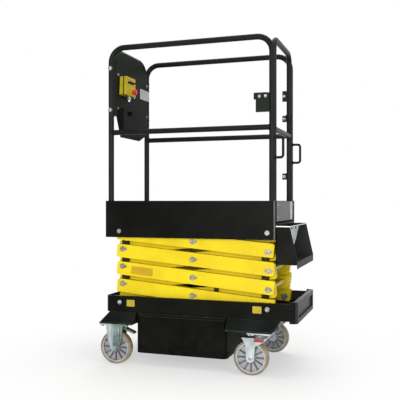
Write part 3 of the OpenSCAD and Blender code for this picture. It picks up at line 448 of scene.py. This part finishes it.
def finishNode(name, paint, edge):
    piece = nodes[name]
    piece.data.materials.clear()
    piece.data.materials.append(paint)
    if name not in edgeWidth:
        return
    piece.data.materials.append(edge or paint)
    piece.modifiers.new("seams", "NODES").node_group = seamTree
    flats = piece.modifiers.new("flats", "DECIMATE")
    flats.decimate_type = "DISSOLVE"
    flats.angle_limit = math.radians(0.4)
    rounded = piece.modifiers.new("edges", "BEVEL")
    rounded.width = edgeWidth[name]
    rounded.segments = 2
    rounded.limit_method = "ANGLE"
    rounded.angle_limit = math.radians(40)
    rounded.harden_normals = True
    rounded.material = 1


for subpart in frame["record"]["subparts"]:
    paint, edge = ownFinish.get(subpart["node"]) or slotFinish[subpart["material_slot"]]
    finishNode(subpart["node"], paint, edge)
print("CAD nodes dressed")


# runs a node tree over a mesh and keeps the plain result as a piece on a body
def settle(name, mesh, tree, values, body):
    carrier = bpy.data.objects.new(name + "Source", mesh)
    scene.collection.objects.link(carrier)
    modifier = carrier.modifiers.new("build", "NODES")
    modifier.node_group = tree
    for item in tree.interface.items_tree:
        if item.item_type == "SOCKET" and item.in_out == "INPUT" and item.name in values:
            modifier[item.identifier] = values[item.name]
    graph = bpy.context.evaluated_depsgraph_get()
    plain = bpy.data.meshes.new_from_object(carrier.evaluated_get(graph), depsgraph=graph)
    bpy.data.objects.remove(carrier)
    return addPiece(name, plain, body)


def addPiece(name, mesh, body, finish=None):
    mesh.name = name
    if finish:
        mesh.materials.clear()
        mesh.materials.append(finish)
    piece = bpy.data.objects.new(name, mesh)
    scene.collection.objects.link(piece)
    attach(piece, body)
    return piece


def startTree(name, inputs):
    tree = bpy.data.node_groups.new(name, "GeometryNodeTree")
    tree.interface.new_socket("Geometry", in_out="INPUT", socket_type="NodeSocketGeometry")
    for label, kind, value in inputs:
        socket = tree.interface.new_socket(label, in_out="INPUT", socket_type="NodeSocket" + kind)
        if value is not None:
            socket.default_value = value
    tree.interface.new_socket("Geometry", in_out="OUTPUT", socket_type="NodeSocketGeometry")
    start = Field(tree)
    source = start.node("NodeGroupInput").socket.node
    return tree, start, {socket.name: Field(tree, socket) for socket in source.outputs if socket.name}


def joined(start, *parts):
    join = start.node("GeometryNodeJoinGeometry")
    for part in parts:
        start.tree.links.new(part.socket, join.socket.node.inputs[0])
    return join


def closeTree(start, shape, finish):
    real = start.node("GeometryNodeRealizeInstances", None, {"Geometry": shape})
    dressed = start.node("GeometryNodeSetMaterial", None, {"Geometry": real, "Material": finish})
    start.node("NodeGroupOutput", None, {"Geometry": dressed})


# hex bolts with a washer and a low crown, one at each point, turned to its aim
def makeBoltTree():
    tree, start, given = startTree("hexBolts", [
        ("Head Radius", "Float", 0.009), ("Head Height", "Float", 0.006), ("Washer Radius", "Float", 0.012),
        ("Washer Height", "Float", 0.0016), ("Material", "Material", None)])
    lift = given["Washer Height"] + given["Head Height"] * 0.5
    washer = start.node("GeometryNodeMeshCylinder", None, {
        "Vertices": 24, "Radius": given["Washer Radius"], "Depth": given["Washer Height"] * 2})
    head = start.node("GeometryNodeMeshCylinder", None, {
        "Vertices": 6, "Radius": given["Head Radius"], "Depth": given["Head Height"]})
    crown = start.node("GeometryNodeMeshCone", None, {
        "Vertices": 18, "Radius Top": given["Head Radius"] * 0.55,
        "Radius Bottom": given["Head Radius"] * 0.84, "Depth": given["Head Height"] * 0.22})
    raised = []
    for part, height in ((head, lift), (crown, given["Washer Height"] + given["Head Height"])):
        offset = start.node("ShaderNodeCombineXYZ", None, {2: height})
        raised.append(start.node("GeometryNodeTransform", None, {"Geometry": part, "Translation": offset}))
    bolt = joined(start, washer, *raised)
    aim = start.node("GeometryNodeInputNamedAttribute", {"data_type": "FLOAT_VECTOR"}, {"Name": "aim"})
    turn = start.node("FunctionNodeAlignRotationToVector", {"axis": "Z"}, {"Vector": aim})
    placed = start.node("GeometryNodeInstanceOnPoints", None, {
        "Points": given["Geometry"], "Instance": bolt, "Rotation": turn})
    closeTree(start, placed, given["Material"])
    return tree


# weld beads: each edge loop becomes a rippled bead
def makeBeadTree():
    tree, start, given = startTree("weldBead", [
        ("Bead Radius", "Float", 0.0024), ("Ripple", "Float", 0.0007), ("Ripple Scale", "Float", 210.0),
        ("Material", "Material", None)])
    path = start.node("GeometryNodeMeshToCurve", None, {"Mesh": given["Geometry"]})
    profile = start.node("GeometryNodeCurvePrimitiveCircle", None, {
        "Resolution": 8, "Radius": given["Bead Radius"]})
    bead = start.node("GeometryNodeCurveToMesh", None, {"Curve": path, "Profile Curve": profile})
    at = start.node("GeometryNodeInputPosition")
    wave = start.node("ShaderNodeTexNoise", None, {
        "Vector": at, "Scale": given["Ripple Scale"], "Detail": 1.0})
    normal = start.node("GeometryNodeInputNormal")
    push = start.node("ShaderNodeVectorMath", {"operation": "SCALE"}, {
        0: normal, "Scale": (wave - 0.5) * given["Ripple"]})
    rippled = start.node("GeometryNodeSetPosition", None, {"Geometry": bead, "Offset": push})
    smooth = start.node("GeometryNodeSetShadeSmooth", None, {"Geometry": rippled})
    closeTree(start, smooth, given["Material"])
    return tree


# raised lozenges over a plate, every second one turned the other way
def makeLozengeTree():
    tree, start, given = startTree("treadLozenges", [
        ("Length", "Float", 0.024), ("Width", "Float", 0.007), ("Height", "Float", 0.003),
        ("Material", "Material", None)])
    ball = start.node("GeometryNodeMeshUVSphere", None, {"Segments": 10, "Rings": 6, "Radius": 0.5})
    size = start.node("ShaderNodeCombineXYZ", None, {
        0: given["Length"], 1: given["Width"], 2: given["Height"]})
    lozenge = start.node("GeometryNodeTransform", None, {"Geometry": ball, "Scale": size})
    lean = start.node("GeometryNodeInputNamedAttribute", {"data_type": "FLOAT"}, {"Name": "lean"})
    turn = start.node("ShaderNodeCombineXYZ", None, {2: lean})
    placed = start.node("GeometryNodeInstanceOnPoints", None, {
        "Points": given["Geometry"], "Instance": lozenge, "Rotation": turn})
    smooth = start.node("GeometryNodeSetShadeSmooth", None, {"Geometry": placed})
    closeTree(start, smooth, given["Material"])
    return tree


# rounded ribs, one at each point, all along Y
def makeRibTree():
    tree, start, given = startTree("gripRibs", [
        ("Length", "Float", 0.5), ("Radius", "Float", 0.002), ("Material", "Material", None)])
    bar = start.node("GeometryNodeMeshCylinder", None, {
        "Vertices": 10, "Radius": given["Radius"], "Depth": given["Length"]})
    laid = start.node("GeometryNodeTransform", None, {"Geometry": bar, "Rotation": (math.pi / 2, 0, 0)})
    placed = start.node("GeometryNodeInstanceOnPoints", None, {"Points": given["Geometry"], "Instance": laid})
    closeTree(start, placed, given["Material"])
    return tree


boltTree, beadTree = makeBoltTree(), makeBeadTree()
lozengeTree, ribTree = makeLozengeTree(), makeRibTree()


def pointMesh(places, vectors=None, floats=None):
    mesh = bpy.data.meshes.new("points")
    mesh.from_pydata([tuple(p) for p in places], [], [])
    if vectors:
        mesh.attributes.new("aim", "FLOAT_VECTOR", "POINT").data.foreach_set(
            "vector", [v for aim in vectors for v in aim])
    if floats:
        mesh.attributes.new("lean", "FLOAT", "POINT").data.foreach_set("value", floats)
    return mesh


def loopMesh(loops):
    mesh = bpy.data.meshes.new("loops")
    places, edges = [], []
    for loop in loops:
        first = len(places)
        places += [tuple(p) for p in loop]
        edges += [(first + i, first + (i + 1) % len(loop)) for i in range(len(loop))]
    mesh.from_pydata(places, edges, [])
    return mesh


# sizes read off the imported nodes, so the dressing follows the CAD
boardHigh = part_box("toe_boards")[1]
deckLow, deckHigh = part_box("deck")
railLow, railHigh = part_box("guardrail_near")
farLow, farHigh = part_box("guardrail_far")
boxLow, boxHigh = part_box("power_box")
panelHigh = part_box("control_panel")[1]
controlLow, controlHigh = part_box("control_box")
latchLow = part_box("latch_bracket")[0]
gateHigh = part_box("gate_frame")[1]
riserLow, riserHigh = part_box("step_riser")
stepLow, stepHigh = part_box("step_stirrup")
kickLow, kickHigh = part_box("gate_kick_plate")
tubeRadius = (railHigh.y - railLow.y) / 2
postY = (farLow.y + farHigh.y) / 2
postBack, postFront = farLow.x + tubeRadius, farHigh.x - tubeRadius
bodyHalf = boardHigh.y
midRailZ = 1.404

# bolts by body: sides are mirrored across the middle plane, single ones come with their aim
largeBolt = {"Head Radius": 0.0105, "Head Height": 0.007, "Washer Radius": 0.0135, "Washer Height": 0.0016}
smallBolt = {"Head Radius": 0.0062, "Head Height": 0.0042, "Washer Radius": 0.0085, "Washer Height": 0.001}
onPost = postY + tubeRadius - 0.0006  # a washer sinks a little into the round tube
boltPlan = {
    "platform": {
        "size": largeBolt,
        "sides": [(-0.487, bodyHalf, 0.803), (0.43, bodyHalf, 0.805),
                  (postBack, onPost, 1.7975), (postBack, onPost, 1.5425)],
        "single": []},
    "chassis": {
        "size": largeBolt,
        "sides": [(-0.483, bodyHalf, 0.371), (0.431, bodyHalf, 0.374)],
        "single": []}}
smallBoltPlan = {
    "platform": {
        "size": smallBolt,
        "sides": [],
        "single": [((0.416, postY - 0.006, z), (0, -1, 0)) for z in (1.143, 1.515, 1.661)]
        + [((x, latchLow.y, 1.579), (0, -1, 0)) for x in (0.384, 0.419)]
        + [((panelHigh.x, y, z), (1, 0, 0)) for y in (-0.222, 0.222) for z in (1.56, 1.77)]
        + [((riserHigh.x - 0.075, y, 0.72), (1, 0, 0)) for y in (-0.24, -0.08, 0.08, 0.24)]},
    "chassis": {
        "finish": bracketBlack,
        "size": smallBolt,
        "sides": [(boxLow.x + 0.045, 0.3, 0.095), (boxHigh.x - 0.045, 0.3, 0.095),
                  (boxLow.x + 0.045, boxHigh.y, 0.304), (boxHigh.x - 0.045, boxHigh.y, 0.304)],
        "single": [((boxHigh.x - 0.004, y, 0.105), (1, 0, 0)) for y in (-0.25, 0.25)]
        + [((boxLow.x + 0.004, y, 0.105), (-1, 0, 0)) for y in (-0.25, 0.25)]},
    "gate": {
        "size": smallBolt,
        "sides": [],
        "single": [((kickHigh.x, y, z), (1, 0, 0)) for y in (-0.228, 0.222) for z in (0.89, 0.96)]}}
plateBoltPlan = {  # castor plates: X of the middle, then half spacings along X and Y
    "wheelY": 0.295, "under": 0.238, "plates": [(-0.501, 0.078, 0.034), (0.3928, 0.056, 0.036)]}


def addBolts(label, plan):
    for body, rows in plan.items():
        places = [place for place, aim in rows["single"]]
        aims = [aim for place, aim in rows["single"]]
        for x, y, z in rows["sides"]:
            places += [(x, -y, z), (x, y, z)]
            aims += [(0, -1, 0), (0, 1, 0)]
        finish = rows.get("finish", boltZinc)
        sizes = dict(rows["size"], Material=finish)
        slot = "zinc" if finish == boltZinc else "frame_black"
        settle(label + body.capitalize(), pointMesh(places, aims), boltTree, sizes, body)


def addPlateBolts():
    places = []
    for x, dx, dy in plateBoltPlan["plates"]:
        for side in (-1, 1):
            places += [(x + a * dx, side * (plateBoltPlan["wheelY"] + b * dy), plateBoltPlan["under"])
                       for a in (-1, 1) for b in (-1, 1)]
    settle("castorPlateBolts", pointMesh(places, [(0, 0, -1)] * len(places)), boltTree,
           dict(largeBolt, Material=boltZinc), "chassis")


def addAxleNuts(name, axle, body):
    low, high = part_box(axle)
    x, z = (low.x + high.x) / 2, (low.z + high.z) / 2
    ends = pointMesh([(x, low.y, z), (x, high.y, z)], [(0, -1, 0), (0, 1, 0)])
    settle(name, ends, boltTree, dict(smallBolt, Material=boltZinc), body)


keeperBolt = {"Head Radius": 0.0046, "Head Height": 0.0028, "Washer Radius": 0.004, "Washer Height": 0.0006}
keeperPlan = {"faceDepth": 0.0004, "headSpread": 0.06, "fromTail": 0.0041}


# a screw in the tail of each keeper, found on the outer faces of the pin heads
def addKeeperScrews():
    members = frame["record"]["behaviour"]["bodies"]
    bodies = {node: body for body in members for node in members[body]}
    for level in range(1, 5):
        name = "pins_%d" % level
        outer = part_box(name)[1].y - keeperPlan["faceDepth"]
        tails = {}
        for corner in [v.co for v in nodes[name].data.vertices if v.co.y > outer]:
            near = (k for k in tails if (tails[k] - corner).length < keeperPlan["headSpread"])
            key = next(near, len(tails))
            if key not in tails or corner.x > tails[key].x:
                tails[key] = corner
        places = []
        for tail in tails.values():
            screw = tail - Vector((keeperPlan["fromTail"], 0, 0))
            places += [screw, screw * Vector((1, -1, 1))]
        settle("keeperScrews_%d" % level, pointMesh(places, [(0, 1, 0), (0, -1, 0)] * len(tails)), boltTree,
               dict(keeperBolt, Material=boltZinc), bodies[name])


addKeeperScrews()
addBolts("bolts", boltPlan)
addBolts("smallBolts", smallBoltPlan)
addPlateBolts()
for side in ("near", "far"):
    addAxleNuts("axleNuts_" + side, "swivel_axle_" + side, "swivel_" + side)
addAxleNuts("axleNutsFixed", "fixed_axles", "chassis")
print("bolts placed")

beadLook = {"Bead Radius": 0.0026, "Ripple": 0.0012, "Ripple Scale": 230.0, "Material": frameBlack}
beadPlan = {
    "railThinner": 0.001, "handleZ": 1.289, "handleHalf": 0.058, "handleRadius": 0.0075, "gateRailZ": 1.399}


# the loop where a round bar along X runs into an upright tube
def saddle(centre, barRadius, tubeR, side, steps=40):
    loop = []
    for i in range(steps):
        t = 2 * math.pi * i / steps
        y, z = barRadius * math.cos(t), barRadius * math.sin(t)
        loop.append(centre + Vector((side * math.sqrt(max(tubeR ** 2 - y ** 2, 0)), y, z)))
    return loop


def addBeads():
    midRadius = tubeRadius - beadPlan["railThinner"]
    platformLoops, gateLoops = [], []
    for y in (-postY, postY):
        platformLoops.append(saddle(Vector((postBack, y, midRailZ)), midRadius, tubeRadius, 1))
        platformLoops.append(saddle(Vector((postFront, y, midRailZ)), midRadius, tubeRadius, -1))
        for half in (-beadPlan["handleHalf"], beadPlan["handleHalf"]):
            end = Vector((postFront, y, beadPlan["handleZ"] + half))
            platformLoops.append(saddle(end, beadPlan["handleRadius"], tubeRadius, 1, 24))
    for side in (-1, 1):
        joint = Vector((postFront, side * (gateHigh.y - tubeRadius), beadPlan["gateRailZ"]))
        loop = saddle(Vector((0, 0, 0)), midRadius, tubeRadius, -side)
        gateLoops.append([joint + Vector((p.y, p.x, p.z)) for p in loop])
    settle("railBeads", loopMesh(platformLoops), beadTree, beadLook, "platform")
    settle("gateBeads", loopMesh(gateLoops), beadTree, beadLook, "gate")


addBeads()

deckTread = {"pitch": 0.032, "margin": 0.03, "postClearX": 0.045, "postClearY": 0.04,
             "Length": 0.025, "Width": 0.0075, "Height": 0.0032}


def addDeckTread():
    places, leans = [], []
    columns = int((deckHigh.x - deckLow.x - 2 * deckTread["margin"]) / deckTread["pitch"])
    rows = int((deckHigh.y - deckLow.y - 2 * deckTread["margin"]) / deckTread["pitch"])
    for i in range(columns + 1):
        for j in range(rows + 1):
            x = deckLow.x + deckTread["margin"] + i * deckTread["pitch"]
            y = (j - rows / 2) * deckTread["pitch"]
            toPost = min(abs(x - postBack), abs(x - postFront))
            if abs(y) <= postY - deckTread["postClearY"] or toPost >= deckTread["postClearX"]:
                places.append((x, y, deckHigh.z))
                leans.append(math.pi / 4 if (i + j) % 2 else -math.pi / 4)
    sizes = {key: deckTread[key] for key in ("Length", "Width", "Height")}
    settle("deckLozenges", pointMesh(places, None, leans), lozengeTree, dict(sizes, Material=deckPlate),
           "platform")


nosingGrip = {"ribs": 7, "fromEdge": 0.008, "pitch": 0.0095, "endGap": 0.01, "radius": 0.0018}


def addNosingRibs():
    first = riserHigh.x - nosingGrip["fromEdge"]
    places = [(first - i * nosingGrip["pitch"], 0, riserHigh.z) for i in range(nosingGrip["ribs"])]
    length = riserHigh.y - riserLow.y - 2 * nosingGrip["endGap"]
    sizes = {"Length": length, "Radius": nosingGrip["radius"], "Material": bracketBlack}
    settle("nosingRibs", pointMesh(places), ribTree, sizes, "platform")


addDeckTread()
addNosingRibs()


# a bmesh as a plain mesh, its faces turned outwards
def closeBuild(build):
    bmesh.ops.recalc_face_normals(build, faces=build.faces)
    mesh = bpy.data.meshes.new("built")
    build.to_mesh(mesh)
    build.free()
    return mesh


# a folded corner bracket in the step's opening, on the near side only, its bright zinc a painted highlight:
# cheek, fold and nosing corners, then the two lower points
bracketPlan = {
    "underNosing": 0.0065, "edgeGap": 0.0005, "cheekTop": 0.0015, "foldIn": 0.069, "noseIn": 0.27,
    "cheekDown": 0.092, "foldDown": 0.069, "foldEdge": 0.084, "thick": 0.002, "bolts": (0.026, 0.15),
    "boltDown": 0.008}
bracketBolt = {"Head Radius": 0.005, "Head Height": 0.003, "Washer Radius": 0.0065, "Washer Height": 0.001}


def addStepBracket():
    plan, out = bracketPlan, riserHigh.x
    top, edge = riserHigh.z - plan["underNosing"], stepLow.y + plan["edgeGap"]
    lean = (stepHigh.x - out) / (top - stepFoldZ)
    rows = [(plan["cheekTop"], 0.0), (plan["foldIn"], 0.0), (plan["noseIn"], 0.0),
            (plan["foldEdge"], plan["foldDown"]), (plan["cheekTop"], plan["cheekDown"])]
    build = bmesh.new()
    skins = [[build.verts.new((out + lean * down + dx, edge + across, top - down)) for across, down in rows]
             for dx in (0.0, plan["thick"])]
    for skin in skins:
        for a, b, c in ((0, 1, 3), (0, 3, 4), (1, 2, 3)):
            build.faces.new((skin[a], skin[b], skin[c]))
    for a, b in ((0, 1), (1, 2), (2, 3), (3, 4), (4, 0)):
        build.faces.new((skins[0][a], skins[0][b], skins[1][b], skins[1][a]))
    addPiece("stepBracket", closeBuild(build), "platform", cornerHighlightZinc)
    places = [(out + plan["thick"] + lean * plan["boltDown"], edge + across, top - plan["boltDown"])
              for across in plan["bolts"]]
    settle("stepBolts", pointMesh(places, [(1, 0, 0)] * len(places)), boltTree,
           dict(bracketBolt, Material=pocketBlack), "platform")


addStepBracket()
print("welds, deck lozenges, nosing ribs and step bracket made")


# a rounded plate standing on a face: outline in its own X and Y, thickness along its Z
def plateMesh(width, height, thick, corner, steps=6):
    build = bmesh.new()
    ring = []
    for cx, cy, first in ((1, 1, 0), (-1, 1, 90), (-1, -1, 180), (1, -1, 270)):
        for i in range(steps + 1):
            t = math.radians(first + 90 * i / steps)
            ring.append((cx * (width / 2 - corner) + corner * math.cos(t),
                         cy * (height / 2 - corner) + corner * math.sin(t)))
    base = build.faces.new([build.verts.new((x, y, 0)) for x, y in ring])
    rise = bmesh.ops.extrude_face_region(build, geom=[base])["geom"]
    lifted = [v for v in rise if isinstance(v, bmesh.types.BMVert)]
    bmesh.ops.translate(build, vec=(0, 0, thick), verts=lifted)
    bmesh.ops.recalc_face_normals(build, faces=build.faces)
    top = [e for e in build.edges if all(v.co.z > thick * 0.5 for v in e.verts)]
    bmesh.ops.bevel(build, geom=top, offset=thick * 0.45, segments=2, profile=0.6, affect="EDGES")
    return closeBuild(build)


def facing(direction, up=(0, 0, 1)):  # turns a plate's Z to the direction and its Y to up
    z = Vector(direction).normalized()
    x = Vector(up).cross(z).normalized()
    return Matrix((x, z.cross(x), z)).transposed().to_4x4()


armPlan = {
    "pitch": 0.106, "length": 0.91, "endDrop": 0.012, "middleX": -0.025097, "lowestZ": 0.375, "half": 0.04}
# the arm bodies lie flatter than their pin rows
armSlope = (math.asin(armPlan["pitch"] / armPlan["length"])
            - math.asin(2 * armPlan["endDrop"] / armPlan["length"]))
tagSheet = {"thick": 0.0014, "corner": 0.005}
tagPlan = {
    "chassisTagBack": {"body": "chassis", "at": (-0.41, -bodyHalf, 0.368), "size": (0.052, 0.04),
                       "finish": tagYellow},
    "chassisTagFront": {"body": "chassis", "at": (0.372, -bodyHalf, 0.369), "size": (0.052, 0.04),
                        "finish": tagYellow},
    "armTag": {"body": "outer_2", "at": (-0.348, -0.265, 0.56), "size": (0.14, 0.046), "finish": armTagYellow,
               "lean": armSlope},
    "kickStrap": {"body": "gate", "at": (kickHigh.x, 0.195, (kickLow.z + kickHigh.z) / 2),
                  "size": (0.06, 0.112), "finish": plateGrey, "aim": (1, 0, 0)},
    "panelPlate": {"body": "platform", "at": (panelHigh.x, 0.188, 1.703), "size": (0.152, 0.068),
                   "finish": panelPlateGrey, "aim": (1, 0, 0)}}


def addTags():
    for name, tag in tagPlan.items():
        mesh = plateMesh(*tag["size"], **tagSheet)
        turn = facing(tag.get("aim", (0, -1, 0))) @ Matrix.Rotation(-tag.get("lean", 0), 4, "Z")
        mesh.transform(Matrix.Translation(tag["at"]) @ turn)
        slot = "bright_plate" if tag["finish"] in (plateGrey, panelPlateGrey) else "arm_yellow"
        addPiece(name, mesh, tag["body"], tag["finish"])


stopBlock = {
    "width": 0.033, "height": 0.0249, "y": 0.2475, "chamfer": 0.004,
    "ends": [(-0.4446, 0.039), (0.4322, 0.039)], "middle": [(0.1375, 0.021)]}  # place along the arm, length


# rubber stops on top of the outer arms, where the next level comes to rest
def addStops():
    high = armPlan["half"] + stopBlock["height"] / 2
    for level in (1, 2, 3):
        build = bmesh.new()
        for along, length in stopBlock["ends"] + (stopBlock["middle"] if level == 1 else []):
            for side in (-1, 1):
                made = bmesh.ops.create_cube(build, size=1)["verts"]
                bmesh.ops.scale(build, vec=(length, stopBlock["width"], stopBlock["height"]), verts=made)
                bmesh.ops.translate(build, vec=(along, side * stopBlock["y"], high), verts=made)
        upright = [e for e in build.edges if abs(e.verts[0].co.z - e.verts[1].co.z) > stopBlock["height"] / 2]
        bmesh.ops.bevel(build, geom=upright, offset=stopBlock["chamfer"], segments=3, profile=0.5,
                        affect="EDGES")
        mesh = closeBuild(build)
        middle = (armPlan["middleX"], 0, armPlan["lowestZ"] + (level - 0.5) * armPlan["pitch"])
        mesh.transform(Matrix.Translation(middle) @ Matrix.Rotation(armSlope, 4, "Y"))
        addPiece("armStops_%d" % level, mesh, "outer_%d" % level, stopRubber)


addTags()
addStops()


# turns a profile of (radius, height) about Z
def lathe(profile, steps=32):
    build = bmesh.new()
    turns = [2 * math.pi * i / steps for i in range(steps)]
    rings = [[build.verts.new((r * math.cos(t), r * math.sin(t), z)) for t in turns] for r, z in profile]
    for low, high in zip(rings, rings[1:]):
        for i in range(steps):
            build.faces.new((low[i], low[(i + 1) % steps], high[(i + 1) % steps], high[i]))
    build.faces.new(rings[0][::-1])
    build.faces.new(rings[-1])
    return closeBuild(build)


controlPlan = {
    "seamAt": 0.62, "seamWidth": 0.006, "seamProud": 0.0012, "boxTaper": 0.008,
    "collarRadius": 0.026, "collarHeight": 0.005, "collarChamfer": 0.002, "collarBore": 0.0115,
    "switchRows": (-0.028, 0.0, 0.028), "switchIn": 0.002, "switchDown": 0.034,
    "switchProfile": [(0.009, 0), (0.009, 0.003), (0.006, 0.0045), (0.0042, 0.012), (0.0048, 0.018),
                      (0.0024, 0.021)]}


def addControls():
    stopLow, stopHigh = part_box("stop_button")
    stopY, stopZ = (stopLow.y + stopHigh.y) / 2, (stopLow.z + stopHigh.z) / 2
    toFront = facing((1, 0, 0))
    r, h, bore = controlPlan["collarRadius"], controlPlan["collarHeight"], controlPlan["collarBore"]
    collar = lathe([(r, 0), (r, h * 0.6), (r - controlPlan["collarChamfer"], h), (bore, h), (bore, 0)])
    collar.transform(Matrix.Translation((controlHigh.x, stopY, stopZ)) @ toFront)
    addPiece("stopCollar", collar, "platform", boxYellow)
    addPiece("controlSeam", seamBand(), "platform", pocketBlack)
    x, z = controlHigh.x - controlPlan["switchIn"], controlHigh.z - controlPlan["switchDown"]
    for i, dy in enumerate(controlPlan["switchRows"]):
        knob = lathe(controlPlan["switchProfile"], 20)
        y = (controlLow.y + controlHigh.y) / 2 + dy
        knob.transform(Matrix.Translation((x, y, z)) @ toFront)
        addPiece("controlSwitch_%d" % i, knob, "platform", pocketBlack)


# a dark band round the control box where its two halves meet
def seamBand():
    half, taper, proud = (controlHigh.y - controlLow.y) / 2, controlPlan["boxTaper"], controlPlan["seamProud"]
    midY = (controlLow.y + controlHigh.y) / 2
    x = controlLow.x + controlPlan["seamAt"] * (controlHigh.x - controlLow.x)
    w = controlPlan["seamWidth"] / 2
    build = bmesh.new()
    outline = [(-half - proud, controlLow.z - proud), (half + proud, controlLow.z - proud),
               (half - taper + proud, controlHigh.z + proud), (taper - half - proud, controlHigh.z + proud)]
    rings = [[build.verts.new((x + dx, midY + y, z)) for y, z in outline] for dx in (-w, w)]
    for i in range(4):
        build.faces.new((rings[0][i], rings[0][(i + 1) % 4], rings[1][(i + 1) % 4], rings[1][i]))
    build.faces.new(rings[0][::-1])
    build.faces.new(rings[1])
    return closeBuild(build)


addControls()
print("tags, stops and controls made")

lampPlan = {
    "key": {"at": (0.7, -5.2, 1.5), "size": 2.6, "watts": 180},
    "fill": {"at": (4.6, -3.0, 2.2), "size": 3.0, "watts": 75},
    "low": {"at": (4.2, -1.7, 0.7), "size": 1.4, "watts": 20},
    "top": {"at": (0.2, 0.3, 5.2), "size": 3.6, "watts": 120},
    "back": {"at": (-1.2, 4.6, 3.4), "size": 3.0, "watts": 90}}


def addLamps():
    target = Vector((0, 0, 0.9))
    for name, plan in lampPlan.items():
        light = bpy.data.lights.new(name, "AREA")
        light.shape, light.size, light.energy = "SQUARE", plan["size"], plan["watts"]
        lamp = bpy.data.objects.new(name, light)
        lamp.location = plan["at"]
        lamp.rotation_euler = (target - Vector(plan["at"])).to_track_quat("-Z", "Y").to_euler()
        scene.collection.objects.link(lamp)


def addWorld(ambient=0.36):
    world = bpy.data.worlds.new("studio")
    world.use_nodes = True
    world.node_tree.nodes.clear()
    start = Field(world.node_tree)
    rays = start.node("ShaderNodeLightPath").socket.node.outputs
    seen = Field(world.node_tree, rays["Is Camera Ray"])
    for label in ("Is Glossy Ray", "Is Transmission Ray"):
        seen = start.maths("MAXIMUM", seen, Field(world.node_tree, rays[label]))
    strength = seen * (1 - ambient) + ambient
    ground = start.node("ShaderNodeBackground", None, {"Color": (1, 1, 1, 1), "Strength": strength})
    start.node("ShaderNodeOutputWorld", None, {"Surface": ground})
    scene.world = world


def addFloor(half=14.0):
    mesh = bpy.data.meshes.new("floor")
    corners = [(-half, -half, 0), (half, -half, 0), (half, half, 0), (-half, half, 0)]
    mesh.from_pydata(corners, [], [(0, 1, 2, 3)])
    made, start = startMaterial("paleFloor")
    at = objectPlace(start)
    away = start.node("ShaderNodeVectorMath", {"operation": "LENGTH"}, {0: at}, out="Value")
    matt = start.node("ShaderNodeBsdfDiffuse", None, {"Color": (0.9, 0.9, 0.9, 1)})
    pale = start.node("ShaderNodeEmission", None, {"Color": (1, 1, 1, 1), "Strength": 1.0})
    mixed = start.node("ShaderNodeMixShader", None, {0: away.ease(0.6, 1.6) * 0.5 + 0.5, 1: matt, 2: pale})
    start.node("ShaderNodeOutputMaterial", None, {"Surface": mixed})
    mesh.materials.append(made)
    floor = bpy.data.objects.new("floor", mesh)
    scene.collection.objects.link(floor)


cameraPlan = {"at": (1.2374, -3.867, 0.985), "azimuth": 18.64, "lens": 58.29, "shiftUp": 0.0026}


def addCamera():
    lens = bpy.data.cameras.new("photoCamera")
    lens.lens, lens.sensor_width, lens.shift_y = cameraPlan["lens"], 36.0, cameraPlan["shiftUp"]
    eye = bpy.data.objects.new("photoCamera", lens)
    eye.location = cameraPlan["at"]
    eye.rotation_euler = (math.pi / 2, 0, math.radians(cameraPlan["azimuth"]))
    scene.collection.objects.link(eye)
    scene.camera = eye


addLamps()
addWorld()
addFloor()
addCamera()
scene.view_settings.view_transform = "Standard"
print("lamps, floor and camera set")
